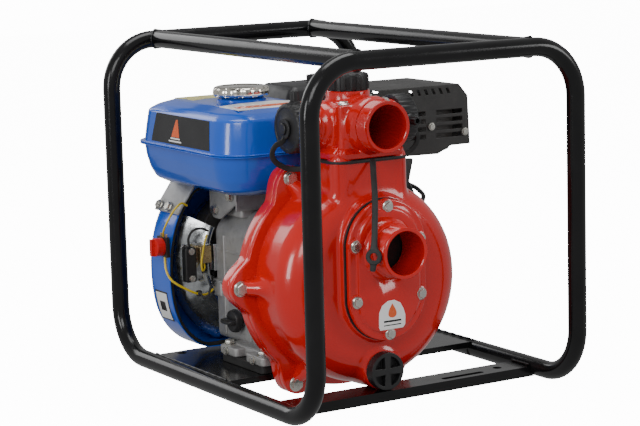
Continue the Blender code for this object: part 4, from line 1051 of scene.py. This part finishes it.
def tank_brackets():
    """Two sheet brackets between the engine and the tank, with their bolts."""
    side = eased_loop([(54, 235.4), (122, 235.4), (122, 199), (112, 192), (96, 192), (54, 216)], 2.5, 3)
    web = slab(side[::-1], "X", -110.5, -107.5, 0.9)
    back = tile((-110.4, 206), (-66, 235.4), 1.2, 3, "Y", 54, 57, 0.9)
    skins("front_tank_bracket_sheet", [web, back], "cast_aluminium", nodes=("tank_bracket_front",), sharp=30)
    soften("tank_bracket_rear", "cast_aluminium", 0.8)
    lean = math.radians(150)
    out = (math.cos(lean), 0, math.sin(lean))
    rear = [(SHAFT_X + 136.4 * out[0], y, SHAFT_Z + 136.4 * out[2]) for y in (150, 174)]
    bolts("tank_bracket_bolts", rear, out, washer=13)
    bolts("front_bracket_bolts", [(-110.6, 106, 203), (-110.6, 66, 224)], (-1, 0, 0), washer=13)


# ---------------------------------------------------------------- fan cover and starter

FAN_FACE = 190.3
BOLT_SEAT = 194.2
GRIP_X = 13
GRIP_Z = 177


def scroll_radius(turn):
    """Radius of the fan cover's scroll: a base circle with two swellings and a dip, softly cut flat."""
    sweep = np.degrees(turn) % 360
    off_corner = np.minimum(np.abs((sweep - 45 + 180) % 360 - 180), 90)
    upper_right = 0.5 + 0.5 * np.cos(np.radians(2 * off_corner))
    lower_left = np.exp(-((sweep - 219) / 24) ** 2)
    lower_right = np.exp(-((sweep - 320) / 30) ** 2)
    scroll = 131 + 13 * lower_left + 22 * upper_right - 8 * lower_right
    side, rise = np.cos(turn), np.sin(turn)
    limits = [scroll, np.where(rise > 0.05, 93 / np.maximum(rise, 0.05), 900.0),
              np.where(rise < -0.05, 113 / np.maximum(-rise, 0.05), 900.0),
              np.where(side > 0.05, 134 / np.maximum(side, 0.05), 900.0)]
    total = sum(np.exp(-limit / 2.0 + 45) for limit in limits)
    return -2.0 * (np.log(total) - 45)


def scroll_ring(inset, level, turn):
    """The scroll's outline, moved in by an inset, at a level along the shaft."""
    return about_shaft(scroll_radius(turn) - inset, turn, float(level))


def fan_side():
    """Blue fan cover, its label and a rim band of painted shade, the bolted starter housing with painted
    shade in its vent grooves, the grip and its cord.
    """
    turn = np.arange(216) * TAU / 216
    outside = ((0.6, 130), (0.2, 132), (0, 150), (0, 178), (3, 187), (12, 190))
    inside = ((11, 187.6), (5, 185.5), (2.2, 176), (2, 132), (1.4, 130))
    outer, inner = ([scroll_ring(inset, level, turn) for inset, level in steps]
                    for steps in (outside, inside))
    face = [about_shaft(80, turn, level) for level in (190.0, 187.6)]
    rings = eased(np.stack([*outer, *face, *inner]), 2.4, 3)
    skins("fan_cover_pressing", [rings], "blue_paint", nodes=("fan_cover",), round_rows=True, sharp=50)
    # A black band just inside the cover's open rim: painted shade where the inside of the scroll goes dark,
    # not a seal.
    rim = eased(np.stack([scroll_ring(inset, level, turn) for inset, level in
                          ((2.3, 131), (2.3, 139), (6, 140), (6, 131.4), (2.3, 131))]), 0.6, 2)
    skins("fan_cover_rim_shade_band", [rim[:-1]], "black_rubber", round_rows=True, sharp=50)

    sweep = np.arange(240) * TAU / 240
    profile = eased([(94, FAN_FACE), (94, 196), (88, 206), (74, 211.6), (30, 211.6), (26, 211.9),
                     (TIP, 212)], 4, 6)
    radius = profile[:, 0]
    around = np.clip((np.cos(10 * sweep) - 0.1) / 0.25, 0, 1)
    radius = np.concatenate([radius[radius > 72], np.linspace(71.5, 43, 26), radius[radius < 42]])
    level = np.interp(-radius, -profile[:, 0], profile[:, 1])
    across_band = np.clip((radius - 43) / 2.5, 0, 1) * np.clip((70 - radius) / 2.5, 0, 1)
    sunk = level[:, None] - 2.4 * across_band[:, None] * around[None, :]
    shell = about_shaft(radius[:, None], sweep, sunk)
    skins("starter_housing_pressing", [shell], "blue_paint", nodes=("recoil_housing",), sharp=50)
    # Near-black slabs on the floors of the sunk vent grooves: painted shade standing in for the dark
    # through-holes.
    vent_shade_slabs = []
    for index in range(10):
        spoke = np.radians(np.linspace(-9, 9, 10)) + index * TAU / 10
        band = np.concatenate([np.stack([67 * np.cos(spoke), 67 * np.sin(spoke)], -1),
                               np.stack([46 * np.cos(spoke[::-1]), 46 * np.sin(spoke[::-1])], -1)])
        vent_shade_slabs.append(slab(band + np.array([SHAFT_X, SHAFT_Z]), "Y", 208.4, 209.5, 0.3))
    skins("starter_vent_shade", vent_shade_slabs, "painted_shade_cavity", sharp=40)
    corners = np.radians([42, 138, 222, 318])
    places = [(SHAFT_X + 103 * math.cos(a), BOLT_SEAT, SHAFT_Z + 103 * math.sin(a)) for a in corners]
    lugs = []
    for angle in corners:
        spine = np.array([[math.cos(angle), math.sin(angle)]]) * np.array([[90.0], [103.0]])
        spine = spine + (SHAFT_X, SHAFT_Z)
        facing = math.degrees(angle)
        lug = np.concatenate([arc(spine[1], 10, facing - 90, facing + 90, 12),
                              arc(spine[0], 12, facing + 90, facing + 270, 12)])
        lugs.append(slab(lug, "Y", FAN_FACE, BOLT_SEAT, 0.8))
    skins("starter_housing_lugs", lugs, "blue_paint", sharp=40)
    bolts("starter_housing_bolts", places, BACK, washer=14)

    for name, low, high, trim, lift, look in (("cover_label_frame", 141, 173, 0, 0.3, "black_print"),
                                              ("cover_label", 143, 171, 0.9, 0.55, "white_print"),
                                              ("cover_label_bars", 150, 164, 5.5, 0.75, "black_print")):
        turns = np.radians(np.linspace(196 + trim, 212 - trim, 16))
        depth = np.linspace(low, high, 6)
        outer = np.stack([scroll_ring(-lift, y, turns) for y in depth])
        inner = np.stack([scroll_ring(0.6, y, turns) for y in depth])
        skins(name, [sheet_skin(outer, inner)], look, sharp=50)

    bar = np.linspace(-33, 33, 60)
    ends = np.sqrt(np.clip(1 - ((np.abs(bar) - 27) / 6).clip(0, 1) ** 2, 0.003, 1))
    ribs = 8.7 * ends * (1 - 0.035 * (0.5 + 0.5 * np.cos(bar * 1.6)))
    grip = turned(np.stack([ribs, bar], -1), (GRIP_X, 232, GRIP_Z), (1, 0, 0), 32)
    neck = turned(eased([(TIP, 212.4), (5.4, 212.4), (6.5, 214), (6.2, 224), (5, 230), (TIP, 231)], 1.5, 3),
                  (GRIP_X, 0, GRIP_Z), BACK, 28)
    skins("starter_grip_moulding", [grip, neck], "black_plastic", "starter_grip", ("starter_grip",), 45)
    cord = turned([(2.1, level) for level in np.linspace(205, 221, 40)], (GRIP_X, 0, GRIP_Z), BACK, 12)
    rope = skins("starter_cord", [cord], "black_rubber", None, sharp=60)
    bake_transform(rope)


# ---------------------------------------------------------------- engine block, cylinder and head

BORE_TILT = 25
HEAD_START = 118.3
ROCKER_START = 152.3


def bore_slab(start, end, low, high, y_low, y_high, corner, edge=0.8):
    """A rounded plate square to the tilted bore: its outline in (across, Y) is carried along the bore."""
    tilt = math.radians(BORE_TILT)
    outline = rounded_rectangle((low, y_low), (high, y_high), corner, 5)
    flat = plate(outline, "Z", soft_steps(start, end, edge))
    a, y, s = flat[..., 0], flat[..., 1], flat[..., 2]
    return np.stack([SHAFT_X + s * math.cos(tilt) - a * math.sin(tilt), y,
                     SHAFT_Z + s * math.sin(tilt) + a * math.cos(tilt)], -1)


def engine_block():
    """Cast crankcase with feet, pads, ribs and seams, and the finned cylinder and head."""
    outline = eased_loop([(-106, 40), (34, 40), (34, 185), (8, 205), (-84, 205), (-106, 178)], 9, 5)
    case = slab(outline, "Y", -19, 118, 2.2)
    feet = [tile((low, y), (high, y + 42), 6, 4, "Z", 31, 42, 2.0)
            for low, high in ((-131, -92), (20, 63)) for y in (-34, 30)]
    feet.append(tile((-118, -30), (50, 68), 8, 4, "Z", 31, 44, 3.0))
    raised = [((y - 2.2, 46), (y + 2.2, 172), 2.0, 3, -108.0, 1.2) for y in (-8, 34, 96)]
    raised += [((-14, 108), (112, 112), 1.8, 3, -107.4, 1.0), ((-14, 150), (112, 153), 1.4, 3, -107.2, 0.9),
               ((46, 52), (76, 88), 9, 5, -106.2, 0.8), ((8, 118), (60, 146), 5, 5, -108.4, 1.4)]
    details = [tile(low, high, corner, steps, "X", -104, face, edge)
               for low, high, corner, steps, face, edge in raised]
    details += [block((-108, 104, 92), (-97, 129, 113), 2.2, 4.0),
                block((-100, 60, 196), (-60, 112, 208), 2.5, 5.0)]
    core = bore_slab(50, 118, -37, 37, 13, 83, 12, 1.5)
    fins = [bore_slab(s, s + 2.6, -46, 46, 4, 92, 12, 0.9) for s in np.arange(58, 114, 7.6)]
    flange = bore_slab(114.5, 118, -42, 42, 8, 88, 12, 0.8)
    skins("engine_block_casting", [case, *feet, *details, core, *fins, flange], "cast_aluminium",
          nodes=("crankcase",), sharp=38)
    head_core = bore_slab(HEAD_START, 152, -35, 35, 14, 82, 10, 1.2)
    head_fins = [bore_slab(s, s + 2.6, -44, 44, 6, 90, 11, 0.9) for s in np.arange(124, 148, 6.6)]
    gasket_face = bore_slab(HEAD_START, 121.6, -40, 40, 9, 87, 11, 0.8)
    seat = bore_slab(148.6, 152, -20, 44, 13, 84, 12, 0.8)
    skins("cylinder_head_casting", [head_core, *head_fins, gasket_face, seat], "cast_aluminium",
          nodes=("cylinder_head",), sharp=38)
    cover = bore_slab(ROCKER_START, 177.6, -18, 42, 16, 80, 14, 4.0)
    lip = bore_slab(ROCKER_START, 155.4, -19.5, 43.5, 14.5, 81.5, 15, 0.8)
    skins("rocker_cover_pressing", [cover, lip], "black_paint", nodes=("rocker_cover",), sharp=38)
    soften("crankcase_cover", "cast_aluminium", 2.2, 3)
    bolts("engine_foot_bolts", [(x, y, 42) for x in (-122, 54) for y in (-22, 60)], UP,
          across_flats=11, washer=17)
    bolts("engine_side_bolts", [(-131.0, 52, 36.5), (-131.0, -14, 36.5)], (-1, 0, 0), across_flats=8, head=4,
          washer=9.5)
    rim = eased_loop([(-98, 56), (26, 56), (26, 172), (4, 184), (-76, 184), (-98, 170)], 20, 2)
    cover_bolts = [(x, -38.0, z) for x, z in rim[::6]]
    bolts("crankcase_cover_bolts", cover_bolts, FRONT, across_flats=8, head=4.4, washer=11)


def oil_caps():
    """Dipstick caps on both sides: a round flange with a tapered wing to turn it by."""
    for name, face, side in (("left_oil_cap", -106.3, -1), ("right_oil_cap", 34.3, 1)):
        barrel = turned(eased([(TIP, 0.1), (10, 0.1), (10, 3.6), (14.5, 4.6), (14.4, 8), (13.2, 12.4),
                               (TIP, 13)], 1.2, 3), (face, 61, 70), (side, 0, 0), 48)
        wing = plate(rounded_rectangle((48, 66), (74, 74), 3.6, 5), "X",
                     [(0.0, face + side * 8), (0.4, face + side * 15), (1.2, face + side * 20.6),
                      (2.6, face + side * 21.9)])
        skins(name + "_moulding", [barrel, wing], "black_plastic", name, (name,), 40)


def left_side_fittings():
    """Cooling shroud, coil and regulator on their bracket, oil sensor and the loose leads."""
    turn = np.radians(np.linspace(150, 244, 60))
    level = np.linspace(119, 160, 24)
    rise = (level - 119) / 41
    radius = 84 + 35 * rise ** 2 * (3 - 2 * rise)

    def cone(grow):
        r = radius[:, None] + grow + 1.1 * np.cos(3 * turn)[None, :]
        return about_shaft(r, turn, level[:, None])

    skins("cooling_shroud", [sheet_skin(cone(0.6), cone(-0.6))], "shroud_steel", sharp=50)
    skins("coil_bracket", [tile((-149, 112), (-103, 160), 4, 4, "Y", 128.3, 129.8, 0.5),
                           block((-110, 116, 124), (-103, 128.6, 158), 1.0, 1.5)],
          "shroud_steel", sharp=35)
    coil = tile((-149, 113), (-134, 157), 3, 4, "Y", 117.0, 128.0, 1.6)
    skins("ignition_coil", [coil], "black_plastic", sharp=35)
    regulator = tile((-129, 135), (-113, 157), 1.5, 3, "Y", 116.0, 128.0, 1.2)
    skins("charging_regulator", [regulator], "relay_brass", sharp=35)
    bolts("coil_screws", [(-141.5, 117, 152), (-141.5, 117, 118)], FRONT, across_flats=6, head=3,
          washer=8.5)
    sensor = [flanged_bolt((-101, 122, 103), (-1, 0, 0), across_flats=12, head=4.9, washer=15)]
    skins("oil_sensor_nut", sensor, "zinc_steel", sharp=28)
    soften("sensor_wire", "yellow_pvc", 0)
    wire("upper_switch_lead", [(-141, 124, 209), (-150, 122, 213), (-160, 122, 206), (-169, 124, 192),
                               (-171, 132, 179), (-168.5, 138, 171.6)], 1.3, "yellow_pvc")
    wire("regulator_lead", [(-121, 122, 134.6), (-122, 119, 129), (-128, 113.6, 127), (-130, 112, 138),
                            (-126, 111, 160), (-121, 112.4, 172)], 1.2, "yellow_pvc")
    wire("coil_lead", [(-141, 122, 157.4), (-143, 120, 168), (-138, 117, 178), (-128, 114.6, 180),
                       (-118, 114.2, 176)], 1.5, "black_rubber")
    wire("block_earth_lead", [(-131, 118, 100), (-127, 114, 92), (-121, 113, 96), (-117, 114, 106),
                              (-110, 116, 112)], 1.3, "black_rubber")
    connector = block((-133, 117.2, 94), (-127.4, 124.4, 101), 0.8, 1.4)
    skins("lead_connector", [connector], "black_plastic", sharp=35)


def switch_and_levers():
    """Engine switch with its terminals, plug cap and lead, and the three control levers."""
    soften("switch_base", "black_plastic", 0.9)
    soften("switch_knob", "red_plastic", 1.3, 3)
    terminals = [block((-169, 128.5 + 7 * row, 170.9), (-167.4, 132 + 7 * row, 175.4), 0.4, 0.6)
                 for row in range(3)]
    skins("switch_terminals", terminals, "relay_brass", sharp=35)
    soften("throttle_lever", "zinc_steel", 0.5)
    for name in ("choke_lever", "fuel_tap_lever"):
        soften(name, "black_plastic", 0.8)
    soften("spark_plug_cap", "black_rubber", 1.0, 3)
    wire("ignition_lead", [(157, 45, 192), (165, 56, 201), (163, 84, 210), (146, 112, 207), (118, 128, 196),
                           (92, 138, 184)], 3.0, "black_rubber", sides=14)


# ---------------------------------------------------------------- muffler, carburettor and air cleaner

def exhaust_side():
    """Muffler under its slotted shield, the shield's screws and a small heat plate."""
    soften("muffler", "cast_iron", 2.0, 3)
    soften("muffler_shield", "shield_paint", 0.75, 3)
    places = [(48, -38, 338), (48, -38, 276), (116, -38, 300), (166, -38, 290)]
    bolts("shield_screws", places, FRONT, across_flats=7, head=3.6, washer=10)
    plate_outline = eased_loop([(52, 226), (86, 222), (96, 262), (60, 264)], 4, 3)
    skins("heat_plate", [slab(plate_outline, "Y", -28, -26.6, 0.5)], "shield_paint", sharp=35)


def intake_side():
    """Carburettor with its bowl and flanges, and the ribbed air cleaner box with its lid."""
    bowl = eased([(TIP, 186), (13, 186), (15, 188.5), (15, 204), (16.5, 205), (16.5, 208),
                  (TIP, 208)], 1.5, 3)
    body = [block((64, 92.4, 206), (100, 126, 246), 2.5, 5.0), turned(bowl, (82, 111, 0), UP, 48),
            block((67, 96, 240), (97, 124, 249.6), 2.0, 6.0)]
    skins("carburettor_casting", body, "cast_aluminium", nodes=("carburettor",), sharp=38)
    bolts("carburettor_screws", [(70, 98, 246), (94, 98, 246)], UP, across_flats=5.5, head=3, washer=7)
    box_outline = rounded_rectangle((6, 112), (134, 204), 14, 8)
    base = slab(box_outline, "Z", 250, 318, 3.0)
    bands = [tile((5.2, 111.2), (134.8, 204.8), 14.6, 8, "Z", z, z + 3.2, 1.0)
             for z in (262, 276, 290, 304)]
    skins("air_cleaner_box", [base, *bands], "black_plastic", nodes=("air_cleaner_base",), sharp=38)
    profile = eased([(-2.2, 318.5), (-3, 319.4), (-3, 326), (3, 340), (9, 345.4), (12.5, 345.9)], 3.0, 5)
    lid = plate(box_outline, "Z", [tuple(step) for step in profile])
    knob = turned(eased([(TIP, 345), (13, 345), (13, 347.5), (8, 349), (7.4, 356), (TIP, 356.6)], 1.5, 3),
                  (70, 158, 0), UP, 40)
    wings = tile((57, 155.6), (83, 160.4), 2.2, 5, "Z", 346.5, 356, 1.4)
    skins("air_cleaner_cover", [lid, knob, wings], "black_plastic", "air_cleaner_lid", ("air_cleaner_lid",),
          40)


stage()
tube_frame()
pump_body()
suction_side()
suction_badge()
discharge_side()
for cap_side in (-1, 1):
    outlet_cap(cap_side)
tethers()
drain_side()
fuel_tank()
tank_brackets()
fan_side()
engine_block()
oil_caps()
left_side_fittings()
switch_and_levers()
exhaust_side()
intake_side()
